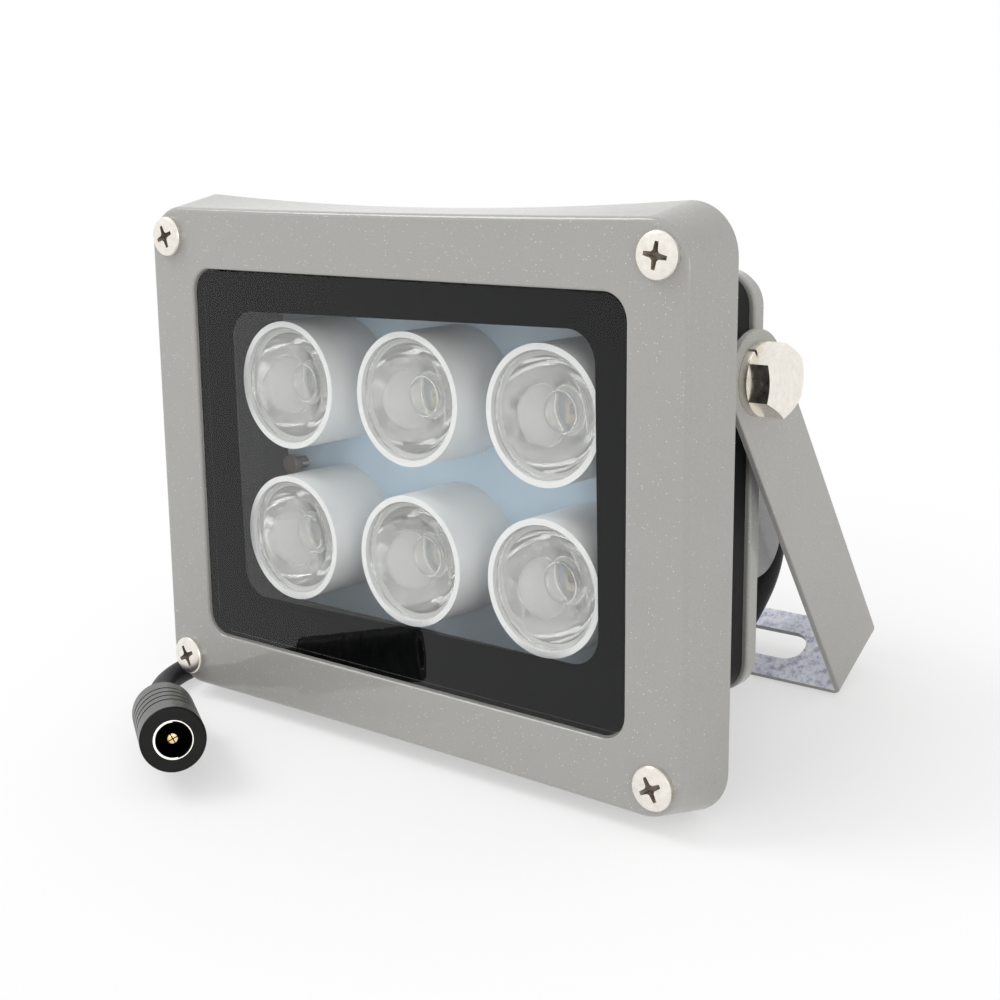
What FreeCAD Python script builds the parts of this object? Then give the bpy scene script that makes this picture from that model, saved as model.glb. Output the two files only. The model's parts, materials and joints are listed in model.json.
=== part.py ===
import FreeCAD, Part
import math
import os

# LED flood light with six lensed emitters, a glazed die-cast bezel, a black moulded frame,
# a finned rear casting, a tilting U bracket and a cable that ends in a round power socket.
# Sizes are in mm. The lamp is drawn upright with the bezel's front face at y = 0, x to the
# right, y towards the back and z up, and is leaned back onto its bracket at the end.

V = FreeCAD.Vector
X_AXIS = V(1, 0, 0)
Y_AXIS = V(0, 1, 0)
Z_AXIS = V(0, 0, 1)

# Bezel
bezel_w = 116.6
bezel_h = 90.9
bezel_bow = 1.7
bezel_corner_r = 7.8
bezel_front_w = 113.8
bezel_front_h = 86.8
bezel_front_bow = 0.2
bezel_front_corner_r = 7.2
bezel_depth = 10.0
bezel_front_t = 3.0
bezel_edge_r = 0.8
skirt_t = 2.2
skirt_least_r = 1.0
opening_w = 92.8
opening_h = 66.1
opening_corner_r = 4.2
opening_edge_r = 0.4
ledge_lap = 4.0
ledge_block_w = 3.6
ledge_back = 7.0
ledge_bore_r = 3.0

# Bezel screws
bezel_screw_x = 52.0
bezel_screw_z = 38.4
bezel_screw_r = 1.7
bezel_screw_head_r = 3.45
bezel_screw_head_h = 1.3
screw_boss_r = 3.0
bezel_screw_past = 0.5
screw_gap = 0.1
through_gap = 0.3
screw_head_round = 0.6

# Glass and seals
glass_recess = 0.6
glass_t = 3.0
glass_gap = 0.3
bead_t = 0.5
bead_in = 0.4
bead_over = 0.6
gasket_t = 1.0
gasket_w = 3.4
gasket_in = 0.5

# Middle frame
frame_w = 94.2
frame_h = 67.5
frame_corner_r = 5.3
frame_wall = 2.5
flange_t = 2.0
flange_gap = 0.3
post_x = 41.9
post_z = 28.5
post_r = 3.4
post_front = 22.0
post_in = 0.2
bolt_pad_r = 6.5

# Rear casting
rear_seal_t = 0.6
rear_seal_w = 1.8
rear_seal_in = 0.4
rear_seal_hole_gap = 0.7
rear_w = 95.4
rear_h = 68.3
rear_corner_r = 5.7
rear_t = 3.8
rear_step_t = 1.5
rear_step_in = 0.5
rear_edge_r = 0.5
lug_w = 7.5
lug_low = -12.0
lug_high = 24.0
lug_gap = 0.3
fin_pitch = 10.5
fin_root_t = 2.6
fin_tip_t = 1.6
fin_depth = 14.4
fin_half = 30.0
fin_outer_half = 18.0
fin_round = 7.0
fin_lean = 1.5
fin_sink = 0.6
rear_screw_r = 1.45
rear_screw_head_r = 2.75
rear_screw_head_h = 1.8
rear_screw_len = 10.0

# Lamp board and optics
lens_pitch_x = 27.9
lens_pitch_z = 26.9
holder_r = 11.0
holder_wall = 1.0
holder_front = 5.5
holder_h = 13.8
holder_floor_t = 1.0
holder_floor_up = 1.1
holder_hole_r = 4.0
lens_recess = 0.6
lens_gap = 0.1
lens_flange_t = 1.4
lens_neck_r = 9.0
lens_tail_r = 4.7
lens_cup_r = 3.0
lens_cup_depth = 4.5
lens_bulge = 0.9
lens_dome = 0.9
board_gap = 1.3
board_t = 1.6
board_chamfer = 3.0
chip_side = 5.0
chip_t = 1.0
dome_r = 1.6
dome_sink = 0.2
board_screw_z = 8.5
board_screw_r = 1.2
board_screw_head_r = 2.2
board_screw_head_h = 1.3
board_screw_len = 5.0
board_screw_end_gap = 0.4

# Light sensor and wires on the board
sensor_in = 4.5
sensor_z = -3.2
sensor_r = 2.5
sensor_t = 2.0
sensor_up = 1.9
lead_r = 0.3
lead_half = 1.2
wire_r = 0.65
wire_hole_r = 0.85
wire_in_x = 6.0
wire_in_z = 3.6
wire_pitch = 1.9
wire_proud = 0.4
wire_bow = 3.2
wire_end_in_x = 3.0
wire_end_in_z = 7.0
wire_end_pitch = 3.0
feed_pitch = 2.4
feed_bow = 1.6
feed_end_in = 2.6

# Driver board
driver_w = 52.0
driver_h = 32.0
driver_t = 1.6
driver_stand = 1.4
driver_stand_r = 2.4
driver_screw_in = 3.0
driver_screw_r = 1.0
driver_screw_head_r = 1.9
driver_screw_head_h = 1.2
driver_screw_len = 4.0
choke_r = 5.5
choke_hole_r = 2.2
choke_h = 5.4
choke_x = -8.0
choke_z = 3.0
capacitor_r = 3.0
capacitor_len = 11.0
capacitor_x = 2.0
capacitor_z = -7.5
driver_chip_w = 8.0
driver_chip_h = 5.0
driver_chip_t = 1.8
driver_chip_x = 6.0
driver_chip_z = 3.0

# Cable gland
gland_x = 3 * fin_pitch
gland_z = -1.0
gland_spigot_r = 6.0
gland_af = 15.0
gland_flange_t = 3.0
gland_nut_t = 5.0
gland_cone_t = 3.5
gland_tip_r = 4.2
gland_shoulder = 0.6
gland_bore_gap = 0.1
gland_turn = 6.0
gland_fin_gap = 1.0

# Pivot and bracket
pivot_y = 28.0
pivot_z = 18.3
bolt_r = 3.0
bolt_af = 10.0
bolt_head_t = 3.7
bolt_reach = 12.0
bolt_chamfer = 0.25
bolt_crown_turn = 25.0
bolt_run_gap = 0.08
bolt_frame_gap = 0.15
bolt_hole_wall = 0.45
spring_washer_r = 5.7
spring_washer_t = 1.3
spring_split = 0.5
spring_split_turn = 35.0
spring_bore_gap = 0.15
flat_washer_r = 6.0
flat_washer_bore_gap = 0.2
side_gap = 0.05
bracket_w = 102.2
bracket_t = 1.0
bracket_strip = 15.0
bracket_drop = 65.5
bracket_bend_r = 0.8
bracket_edge_r = 0.25
bracket_angle = 33.8
slot_w = 6.3
slot_len = 24.0
slot_end = 40.5
base_hole_r = 3.25

# Cable and socket
cord_r = 2.1
cable_exit_run = 12.0
cable_entry_run = 7.2
jack_r = 5.4
jack_len = 23.0
jack_edge_r = 0.5
jack_groove_r = 5.05
jack_groove_w = 0.8
jack_groove_pitch = 3.4
jack_groove_count = 4
jack_groove_first = 6.5
jack_boot_len = 10.0
jack_boot_root_r = 4.0
jack_boot_tip_r = 2.7
jack_bore_r = 2.9
jack_sleeve_t = 0.35
jack_bore_depth = 10.0
jack_pin_r = 1.05
jack_pin_short = 1.0
jack_pin_round = 0.5
jack_plug_t = 2.0
jack_face = V(-21.8, -63.5, 9.85)
jack_turn = 146.5
jack_lift = 11.0

# Lap of one solid into the next where they are joined, and overrun of a cutter past a face
lap = 0.5
over = 1.0

os.makedirs("parts", exist_ok=True)


def rounded(half_w, half_h, r, y0, y1, x=0.0, z=0.0):
    # Prism along y with a rounded rectangular section.
    r = min(r, half_w - 0.01, half_h - 0.01)
    a = half_w - r
    b = half_h - r
    s = r * math.sqrt(0.5)
    edges = [
        Part.makeLine(V(x - a, y0, z + half_h), V(x + a, y0, z + half_h)),
        Part.Arc(V(x + a, y0, z + half_h), V(x + a + s, y0, z + b + s), V(x + half_w, y0, z + b)).toShape(),
        Part.makeLine(V(x + half_w, y0, z + b), V(x + half_w, y0, z - b)),
        Part.Arc(V(x + half_w, y0, z - b), V(x + a + s, y0, z - b - s), V(x + a, y0, z - half_h)).toShape(),
        Part.makeLine(V(x + a, y0, z - half_h), V(x - a, y0, z - half_h)),
        Part.Arc(V(x - a, y0, z - half_h), V(x - a - s, y0, z - b - s), V(x - half_w, y0, z - b)).toShape(),
        Part.makeLine(V(x - half_w, y0, z - b), V(x - half_w, y0, z + b)),
        Part.Arc(V(x - half_w, y0, z + b), V(x - a - s, y0, z + b + s), V(x - a, y0, z + half_h)).toShape(),
    ]
    return Part.Face(Part.Wire(edges)).extrude(V(0, y1 - y0, 0))


def skirt_outline(inset, y):
    # The bezel's outline at depth y, drawn inwards by inset: it flares out towards the rear,
    # where its long edges bow in between the corners.
    share = y / bezel_depth
    half_w = (bezel_front_w + (bezel_w - bezel_front_w) * share) / 2 - inset
    half_h = (bezel_front_h + (bezel_h - bezel_front_h) * share) / 2 - inset
    corner = bezel_front_corner_r + (bezel_corner_r - bezel_front_corner_r) * share
    r = max(corner - inset, skirt_least_r)
    a = half_w - r
    b = half_h - r
    s = r * math.sqrt(0.5)
    mid = half_h - bezel_front_bow - (bezel_bow - bezel_front_bow) * share
    edges = [
        Part.Arc(V(-a, y, half_h), V(0, y, mid), V(a, y, half_h)).toShape(),
        Part.Arc(V(a, y, half_h), V(a + s, y, b + s), V(half_w, y, b)).toShape(),
        Part.makeLine(V(half_w, y, b), V(half_w, y, -b)),
        Part.Arc(V(half_w, y, -b), V(a + s, y, -b - s), V(a, y, -half_h)).toShape(),
        Part.Arc(V(a, y, -half_h), V(0, y, -mid), V(-a, y, -half_h)).toShape(),
        Part.Arc(V(-a, y, -half_h), V(-a - s, y, -b - s), V(-half_w, y, -b)).toShape(),
        Part.makeLine(V(-half_w, y, -b), V(-half_w, y, b)),
        Part.Arc(V(-half_w, y, b), V(-a - s, y, b + s), V(-a, y, half_h)).toShape(),
    ]
    return Part.Wire(edges)


def skirt_block(inset, y0, y1):
    return Part.makeLoft([skirt_outline(inset, y0), skirt_outline(inset, y1)], True, True)


def rod(x, z, r, y0, y1):
    return Part.makeCylinder(r, y1 - y0, V(x, y0, z), Y_AXIS)


def cross_rod(y, z, r, x0, x1):
    return Part.makeCylinder(r, x1 - x0, V(x0, y, z), X_AXIS)


def block(x0, x1, y0, y1, z0, z1):
    return Part.makeBox(x1 - x0, y1 - y0, z1 - z0, V(x0, y0, z0))


def turned(profile, x, z):
    # Solid of revolution about a line along y; profile is a list of (radius, y).
    pts = [V(x + r, y, z) for r, y in profile]
    wire = Part.makePolygon(pts + [pts[0]])
    return Part.Face(wire).revolve(V(x, 0, z), Y_AXIS, 360)


def spun(edges, x, z):
    # Solid of revolution about a line along y, from a closed outline at its +x side.
    return Part.Face(Part.Wire(edges)).revolve(V(x, 0, z), Y_AXIS, 360)


def corners(dx, dz):
    return [(dx, dz), (-dx, dz), (-dx, -dz), (dx, -dz)]


def pick_edges(shape, test):
    found = []
    for edge in shape.Edges:
        if test(edge):
            found.append(edge)
    return found


def edges_at(shape, y):
    # Edges that lie in the plane across the lamp at depth y.
    return pick_edges(shape, lambda e: max(abs(e.BoundBox.YMin - y), abs(e.BoundBox.YMax - y)) < 1e-4)


def joined(parts):
    out = parts[0]
    for p in parts[1:]:
        out = out.fuse(p)
    return out.removeSplitter()


def round_screw(x, z, r, length, head_r, head_h, face_y, towards):
    # Screw whose head stands on the face at face_y; towards is +1 when its shank runs to +y.
    if towards > 0:
        head = rod(x, z, head_r, face_y - head_h, face_y)
        shank = rod(x, z, r, face_y, face_y + length)
        outer_y = face_y - head_h
    else:
        head = rod(x, z, head_r, face_y, face_y + head_h)
        shank = rod(x, z, r, face_y - length, face_y)
        outer_y = face_y + head_h
    head = head.makeFillet(head_h * screw_head_round, edges_at(head, outer_y))
    return joined([head, shank])


def bend_path(points):
    # Straight runs joined by tangent arcs; gives the wire and the arc radii.
    edges = []
    radii = []
    last = points[0]
    for i in range(1, len(points) - 1):
        a = points[i - 1]
        b = points[i]
        c = points[i + 1]
        u = (b - a).normalize()
        w = (c - b).normalize()
        turn = math.acos(max(-1.0, min(1.0, u.dot(w))))
        cut = 0.45 * min((b - a).Length, (c - b).Length)
        r = cut / math.tan(turn / 2)
        radii.append(r)
        p0 = b - u * cut
        p1 = b + w * cut
        to_centre = (w - u).normalize()
        centre = b + to_centre * (r / math.cos(turn / 2))
        mid = centre - to_centre * r
        edges.append(Part.LineSegment(last, p0).toShape())
        edges.append(Part.Arc(p0, mid, p1).toShape())
        last = p1
    edges.append(Part.LineSegment(last, points[-1]).toShape())
    return Part.Wire(edges), radii


def tube(points, r):
    wire, radii = bend_path(points)
    direction = points[1] - points[0]
    ring = Part.Wire([Part.makeCircle(r, points[0], direction)])
    solid = wire.makePipeShell([ring], True, True)
    expected = math.pi * r * r * wire.Length
    return solid, radii, wire.Length, solid.Volume / expected


# Derived positions
opening_hw = opening_w / 2
opening_hh = opening_h / 2
ledge_hw = opening_hw - ledge_lap
ledge_hh = opening_hh - ledge_lap
block_hw = opening_hw + ledge_block_w
block_hh = opening_hh + ledge_block_w
glass_back = glass_recess + glass_t
ledge_front = glass_back + bead_t
flange_front = ledge_back + gasket_t
flange_back = flange_front + flange_t
frame_hw = frame_w / 2
frame_hh = frame_h / 2
cavity_hw = frame_hw - frame_wall
cavity_hh = frame_hh - frame_wall
frame_back = pivot_y + bolt_r + bolt_frame_gap + bolt_hole_wall
rear_front = frame_back + rear_seal_t
rear_face = rear_front + rear_t
rear_hw = rear_w / 2
rear_hh = rear_h / 2
board_front = holder_front + holder_h
board_back = board_front + board_t
arm_outer = bracket_w / 2
arm_inner = arm_outer - bracket_t
lug_outer = cavity_hw - lug_gap
lug_inner = lug_outer - lug_w
board_hw = cavity_hw - board_gap
board_hh = cavity_hh - board_gap
board_screw_x = (lug_outer + lug_inner) / 2
sensor_x = sensor_in - board_hw
wire_x = wire_in_x - board_hw
wire_z = board_hh - wire_in_z
driver_hw = driver_w / 2
driver_hh = driver_h / 2
driver_screw_x = driver_hw - driver_screw_in
driver_screw_z = driver_hh - driver_screw_in
driver_back = rear_front - driver_stand
driver_front = driver_back - driver_t

pieces = {}

# Front bezel: casting with a flared skirt, a stepped glass seat and four screw bosses.
bezel = skirt_block(0, 0, bezel_depth)
bezel = bezel.makeFillet(bezel_edge_r, edges_at(bezel, 0))
bezel = bezel.cut(skirt_block(skirt_t, bezel_front_t, bezel_depth + over))
block_r = opening_corner_r + ledge_block_w
bezel = bezel.fuse(rounded(block_hw, block_hh, block_r, bezel_front_t - lap, ledge_back))
for x, z in corners(bezel_screw_x, bezel_screw_z):
    bezel = bezel.fuse(rod(x, z, screw_boss_r, bezel_front_t - lap, flange_front))
bezel = bezel.cut(rounded(opening_hw, opening_hh, opening_corner_r, -over, ledge_front))
bezel = bezel.cut(rounded(ledge_hw, ledge_hh, ledge_bore_r, -over, bezel_depth))
opening_edges = []
for edge in edges_at(bezel, 0):
    if edge.BoundBox.XMax < opening_hw + lap and edge.BoundBox.XMin > -opening_hw - lap:
        if edge.BoundBox.ZMax < opening_hh + lap and edge.BoundBox.ZMin > -opening_hh - lap:
            opening_edges.append(edge)
bezel = bezel.makeFillet(opening_edge_r, opening_edges)
for x, z in corners(bezel_screw_x, bezel_screw_z):
    bezel = bezel.cut(rod(x, z, bezel_screw_r + through_gap, -over, bezel_depth))
pieces["bezel"] = bezel.removeSplitter()

screws = []
for x, z in corners(bezel_screw_x, bezel_screw_z):
    length = flange_back + bezel_screw_past
    screws.append(round_screw(
        x, z, bezel_screw_r, length, bezel_screw_head_r, bezel_screw_head_h, 0.0, 1))
pieces["bezel_screws"] = Part.Compound(screws)

# Glass, its bead of sealant and the gasket behind the glass seat
glass_hw = opening_hw - glass_gap
glass_hh = opening_hh - glass_gap
pieces["glass_panel"] = rounded(glass_hw, glass_hh, opening_corner_r - glass_gap, glass_recess, glass_back)
bead_r = opening_corner_r - glass_gap - bead_in
bead = rounded(glass_hw - bead_in, glass_hh - bead_in, bead_r, glass_back, ledge_front)
bead_bore_hw = ledge_hw + bead_over
bead_bore_hh = ledge_hh + bead_over
bead_bore = rounded(bead_bore_hw, bead_bore_hh, ledge_bore_r, glass_back - over, ledge_front + over)
pieces["glass_seal"] = bead.cut(bead_bore)
gasket_hw = block_hw - gasket_in
gasket_hh = block_hh - gasket_in
gasket = rounded(gasket_hw, gasket_hh, opening_corner_r + gasket_w, ledge_back, flange_front)
gasket_bore_hw = gasket_hw - gasket_w
gasket_bore_hh = gasket_hh - gasket_w
gasket_bore = rounded(
    gasket_bore_hw, gasket_bore_hh, opening_corner_r, ledge_back - over, flange_front + over)
pieces["body_gasket"] = gasket.cut(gasket_bore)

# Middle frame: black moulded ring with a front flange and corner posts
frame = skirt_block(skirt_t + flange_gap, flange_front, flange_back)
frame = frame.fuse(rounded(frame_hw, frame_hh, frame_corner_r, flange_front, frame_back))
for side in (1, -1):
    x0 = min(side * (frame_hw - lap), side * rear_hw)
    x1 = max(side * (frame_hw - lap), side * rear_hw)
    pad = cross_rod(pivot_y, pivot_z, bolt_pad_r, x0, x1)
    frame = frame.fuse(pad.common(block(-rear_hw, rear_hw, flange_back, frame_back, 0, frame_hh)))
cavity_r = frame_corner_r - frame_wall
frame = frame.cut(rounded(cavity_hw, cavity_hh, cavity_r, flange_front - over, frame_back + over))
post_limit = rounded(frame_hw - post_in, frame_hh - post_in, frame_corner_r, 0, frame_back)
for x, z in corners(post_x, post_z):
    post = rod(x, z, post_r, post_front, frame_back)
    frame = frame.fuse(post.common(post_limit))
for x, z in corners(post_x, post_z):
    frame = frame.cut(rod(x, z, rear_screw_r + screw_gap, post_front - over, frame_back + over))
for x, z in corners(bezel_screw_x, bezel_screw_z):
    frame = frame.cut(rod(x, z, bezel_screw_r + screw_gap, flange_front - over, flange_back + over))
for side in (1, -1):
    x0 = min(side * (cavity_hw - over), side * (rear_hw + over))
    x1 = max(side * (cavity_hw - over), side * (rear_hw + over))
    frame = frame.cut(cross_rod(pivot_y, pivot_z, bolt_r + bolt_frame_gap, x0, x1))
pieces["middle_frame"] = frame.removeSplitter()

seal_hw = frame_hw - rear_seal_in
seal_hh = frame_hh - rear_seal_in
seal_r = frame_corner_r - rear_seal_in
seal = rounded(seal_hw, seal_hh, seal_r, frame_back, rear_front)
seal_bore_r = seal_r - rear_seal_w
seal_bore_hw = seal_hw - rear_seal_w
seal_bore_hh = seal_hh - rear_seal_w
seal = seal.cut(rounded(seal_bore_hw, seal_bore_hh, seal_bore_r, frame_back - over, rear_front + over))
for x, z in corners(post_x, post_z):
    seal = seal.cut(rod(x, z, rear_screw_r + rear_seal_hole_gap, frame_back - over, rear_front + over))
pieces["rear_seal"] = seal

# Rear casting: stepped rim, side lugs for the bolts, stand-offs, boss for the gland and fins
rear = rounded(rear_hw, rear_hh, rear_corner_r, rear_front, rear_face - rear_step_t)
rear = rear.makeFillet(rear_edge_r, edges_at(rear, rear_front))
step_hw = rear_hw - rear_step_in
step_hh = rear_hh - rear_step_in
step_front = rear_face - rear_step_t - lap
step = rounded(step_hw, step_hh, rear_corner_r - rear_step_in, step_front, rear_face)
rear = rear.fuse(step.makeFillet(rear_edge_r, edges_at(step, rear_face)))
for side in (1, -1):
    x0 = min(side * lug_inner, side * lug_outer)
    rear = rear.fuse(block(x0, x0 + lug_w, board_back, rear_front + lap, lug_low, lug_high))
for x, z in corners(driver_screw_x, driver_screw_z):
    rear = rear.fuse(rod(x, z, driver_stand_r, driver_back, rear_front + lap))


def fin(x, z_low, z_high, low_round, high_round):
    # Tapered plate with rounded ends, wider at its root.
    y0 = rear_face - fin_sink
    y1 = rear_face + fin_depth
    tip_low = z_low + (fin_lean if low_round else 0.0)
    tip_high = z_high - (fin_lean if high_round else 0.0)
    root = fin_root_t / 2
    foot = x - root
    points = [V(foot, y0, z_low), V(foot, y1, tip_low), V(foot, y1, tip_high), V(foot, y0, z_high)]
    plate = Part.Face(Part.makePolygon(points + [points[0]])).extrude(V(fin_root_t, 0, 0))
    tips = []
    for edge in edges_at(plate, y1):
        if low_round and edge.BoundBox.ZMax < tip_low + fin_sink:
            tips.append(edge)
        if high_round and edge.BoundBox.ZMin > tip_high - fin_sink:
            tips.append(edge)
    plate = plate.makeFillet(fin_round, tips)
    tip = fin_tip_t / 2
    points = [V(x - root, y0, 0), V(x + root, y0, 0), V(x + tip, y1, 0), V(x - tip, y1, 0)]
    wedge = Part.Face(Part.makePolygon(points + [points[0]])).extrude(V(0, 0, 2 * rear_hh))
    wedge.translate(V(0, 0, -rear_hh))
    return plate.common(wedge)


gland_reach = gland_af / math.sqrt(3.0) + gland_fin_gap
outer_index = 4
for i in range(-outer_index, outer_index + 1):
    x = i * fin_pitch
    if abs(i) == outer_index:
        rear = rear.fuse(fin(x, -fin_outer_half, fin_outer_half, True, True))
    elif abs(x - gland_x) < fin_pitch / 2:
        rear = rear.fuse(fin(x, gland_z + gland_reach, fin_half, True, True))
        rear = rear.fuse(fin(x, -fin_half, gland_z - gland_reach, True, True))
    else:
        rear = rear.fuse(fin(x, -fin_half, fin_half, True, True))
for x, z in corners(post_x, post_z):
    rear = rear.cut(rod(x, z, rear_screw_r + through_gap, rear_front - over, rear_face + over))
rear = rear.cut(rod(gland_x, gland_z, gland_spigot_r + screw_gap, rear_front - over, rear_face + over))
for x, z in corners(board_screw_x, board_screw_z):
    rear = rear.cut(rod(x, z, board_screw_r + screw_gap, board_back - over, board_back + board_screw_len))
driver_hole_end = driver_front + driver_screw_len + through_gap
for x, z in corners(driver_screw_x, driver_screw_z):
    rear = rear.cut(rod(x, z, driver_screw_r + screw_gap, driver_back - over, driver_hole_end))
rear = rear.cut(cross_rod(pivot_y, pivot_z, bolt_r + screw_gap, -rear_hw, -lug_inner + over))
rear = rear.cut(cross_rod(pivot_y, pivot_z, bolt_r + screw_gap, lug_inner - over, rear_hw))
pieces["rear_housing"] = rear.removeSplitter()

screws = []
for x, z in corners(post_x, post_z):
    screws.append(round_screw(
        x, z, rear_screw_r, rear_screw_len, rear_screw_head_r, rear_screw_head_h, rear_face, -1))
pieces["rear_screws"] = Part.Compound(screws)

# Lamp board with its screws
board = block(-board_hw, board_hw, board_front, board_back, -board_hh, board_hh)
uprights = pick_edges(board, lambda e: e.BoundBox.YMax - e.BoundBox.YMin > board_t / 2)
board = board.makeChamfer(board_chamfer, uprights)
for x, z in corners(board_screw_x, board_screw_z):
    board = board.cut(rod(x, z, board_screw_r + through_gap, board_front - over, board_back + over))
wire_spots = [(wire_x, wire_z), (wire_x + wire_pitch, wire_z)]
for x, z in wire_spots:
    board = board.cut(rod(x, z, wire_hole_r, board_front - over, board_back + over))
pieces["led_board"] = board

screws = []
for x, z in corners(board_screw_x, board_screw_z):
    length = board_t + board_screw_len - board_screw_end_gap
    screws.append(round_screw(
        x, z, board_screw_r, length, board_screw_head_r, board_screw_head_h, board_front, 1))
pieces["board_screws"] = Part.Compound(screws)

# Six emitters, each under a clear collimating lens in a white round holder
floor_back = board_front - holder_floor_up
floor_front = floor_back - holder_floor_t
bore_r = holder_r - holder_wall
lens_front = holder_front + lens_recess
lens_flange = lens_front + lens_flange_t
lens_cup_end = floor_front - lens_cup_depth


def lens_solid(x, z):
    # Flat front with a rim, a curved flank that throws the light forward, and a cup with
    # a domed end over the emitter.
    outline = [
        V(x, lens_cup_end + lens_dome, z), V(x, lens_front, z), V(x + bore_r - lens_gap, lens_front, z),
        V(x + bore_r - lens_gap, lens_flange, z), V(x + lens_neck_r, lens_flange, z)]
    tail = V(x + lens_tail_r, floor_front, z)
    flank = V(x + (lens_neck_r + lens_tail_r) / 2 + lens_bulge, (lens_flange + floor_front) / 2, z)
    cup_edge = V(x + lens_cup_r, floor_front, z)
    cup_corner = V(x + lens_cup_r, lens_cup_end, z)
    dome_r_big = (lens_cup_r ** 2 + lens_dome ** 2) / (2 * lens_dome)
    dome_drop = dome_r_big - math.sqrt(dome_r_big ** 2 - (lens_cup_r / 2) ** 2)
    dome_mid = V(x + lens_cup_r / 2, lens_cup_end + lens_dome - dome_drop, z)
    edges = []
    for a, b in zip(outline[:-1], outline[1:]):
        edges.append(Part.makeLine(a, b))
    edges.append(Part.Arc(outline[-1], flank, tail).toShape())
    edges.append(Part.makeLine(tail, cup_edge))
    edges.append(Part.makeLine(cup_edge, cup_corner))
    edges.append(Part.Arc(cup_corner, dome_mid, outline[0]).toShape())
    return spun(edges, x, z)


number = 0
for row in (1, -1):
    for col in (-1, 0, 1):
        number += 1
        x = col * lens_pitch_x
        z = row * lens_pitch_z / 2
        half = chip_side / 2
        chip_front = board_front - chip_t
        chip = block(x - half, x + half, chip_front, board_front, z - half, z + half)
        dome = Part.makeSphere(dome_r, V(x, chip_front, z))
        dome_tip = chip_front - 2 * dome_r
        dome = dome.common(block(x - half, x + half, dome_tip, chip_front + dome_sink, z - half, z + half))
        pieces["led_emitter_%d" % number] = joined([chip, dome])
        holder = turned([
            (bore_r, holder_front), (holder_r, holder_front), (holder_r, board_front),
            (bore_r, board_front), (bore_r, floor_back), (holder_hole_r, floor_back),
            (holder_hole_r, floor_front), (bore_r, floor_front)], x, z)
        pieces["lens_holder_%d" % number] = holder
        pieces["lens_%d" % number] = lens_solid(x, z)

# Light sensor on two legs, and its board pads
cell_back = board_front - sensor_up
cell = rod(sensor_x, sensor_z, sensor_r, cell_back - sensor_t, cell_back)
pieces["light_sensor"] = cell
legs = []
for dx in (-lead_half, lead_half):
    legs.append(rod(sensor_x + dx, sensor_z, lead_r, cell_back, board_front))
pieces["sensor_leads"] = Part.Compound(legs)

# Driver board behind the lamp board
driver = block(-driver_hw, driver_hw, driver_front, driver_back, -driver_hh, driver_hh)
for x, z in corners(driver_screw_x, driver_screw_z):
    driver = driver.cut(rod(x, z, driver_screw_r + through_gap, driver_front - over, driver_back + over))
pieces["driver_board"] = driver
screws = []
for x, z in corners(driver_screw_x, driver_screw_z):
    screws.append(round_screw(
        x, z, driver_screw_r, driver_screw_len, driver_screw_head_r, driver_screw_head_h, driver_front, 1))
pieces["driver_screws"] = Part.Compound(screws)
choke = rod(choke_x, choke_z, choke_r, driver_front - choke_h, driver_front)
choke_hole = rod(choke_x, choke_z, choke_hole_r, driver_front - choke_h - over, driver_front + over)
pieces["driver_choke"] = choke.cut(choke_hole)
capacitor_y = driver_front - capacitor_r
capacitor_end = capacitor_x + capacitor_len
pieces["driver_capacitor"] = cross_rod(capacitor_y, capacitor_z, capacitor_r, capacitor_x, capacitor_end)
pieces["driver_chip"] = block(
    driver_chip_x, driver_chip_x + driver_chip_w, driver_front - driver_chip_t, driver_front,
    driver_chip_z, driver_chip_z + driver_chip_h)

# Wires: lamp board to driver, and gland to driver
lamp_wires = []
for k, (x, z) in enumerate(wire_spots):
    start = V(wire_end_in_x + wire_end_pitch * k - driver_hw, driver_front, driver_hh - wire_end_in_z)
    path = [
        start, V(start.x, start.y - wire_bow, start.z), V(x, board_back + wire_bow, z),
        V(x, board_front - wire_proud, z)]
    solid, radii, length, ratio = tube(path, wire_r)
    lamp_wires.append(solid)
pieces["lamp_wires"] = Part.Compound(lamp_wires)
feed_wires = []
for k in (0, 1):
    x = driver_hw - feed_end_in
    z = gland_z + feed_pitch * (0.5 - k)
    path = [
        V(gland_x, rear_front, z), V(gland_x, driver_front - feed_bow, z),
        V(x, driver_front - 2 * feed_bow, z), V(x, driver_front, z)]
    solid, radii, length, ratio = tube(path, wire_r)
    feed_wires.append(solid)
pieces["feed_wires"] = Part.Compound(feed_wires)


def hexagon(af, x0, x1, y, z, turn):
    # Hexagonal prism along x; turn is the angle of one corner from +y towards +z.
    radius = af / math.sqrt(3.0)
    pts = []
    for k in range(7):
        a = math.radians(turn + 60 * k)
        pts.append(V(x0, y + radius * math.cos(a), z + radius * math.sin(a)))
    return Part.Face(Part.makePolygon(pts)).extrude(V(x1 - x0, 0, 0))


def hexagon_y(af, y0, y1, x, z, turn):
    radius = af / math.sqrt(3.0)
    pts = []
    for k in range(7):
        a = math.radians(turn + 60 * k)
        pts.append(V(x + radius * math.cos(a), y0, z + radius * math.sin(a)))
    return Part.Face(Part.makePolygon(pts)).extrude(V(0, y1 - y0, 0))


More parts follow.
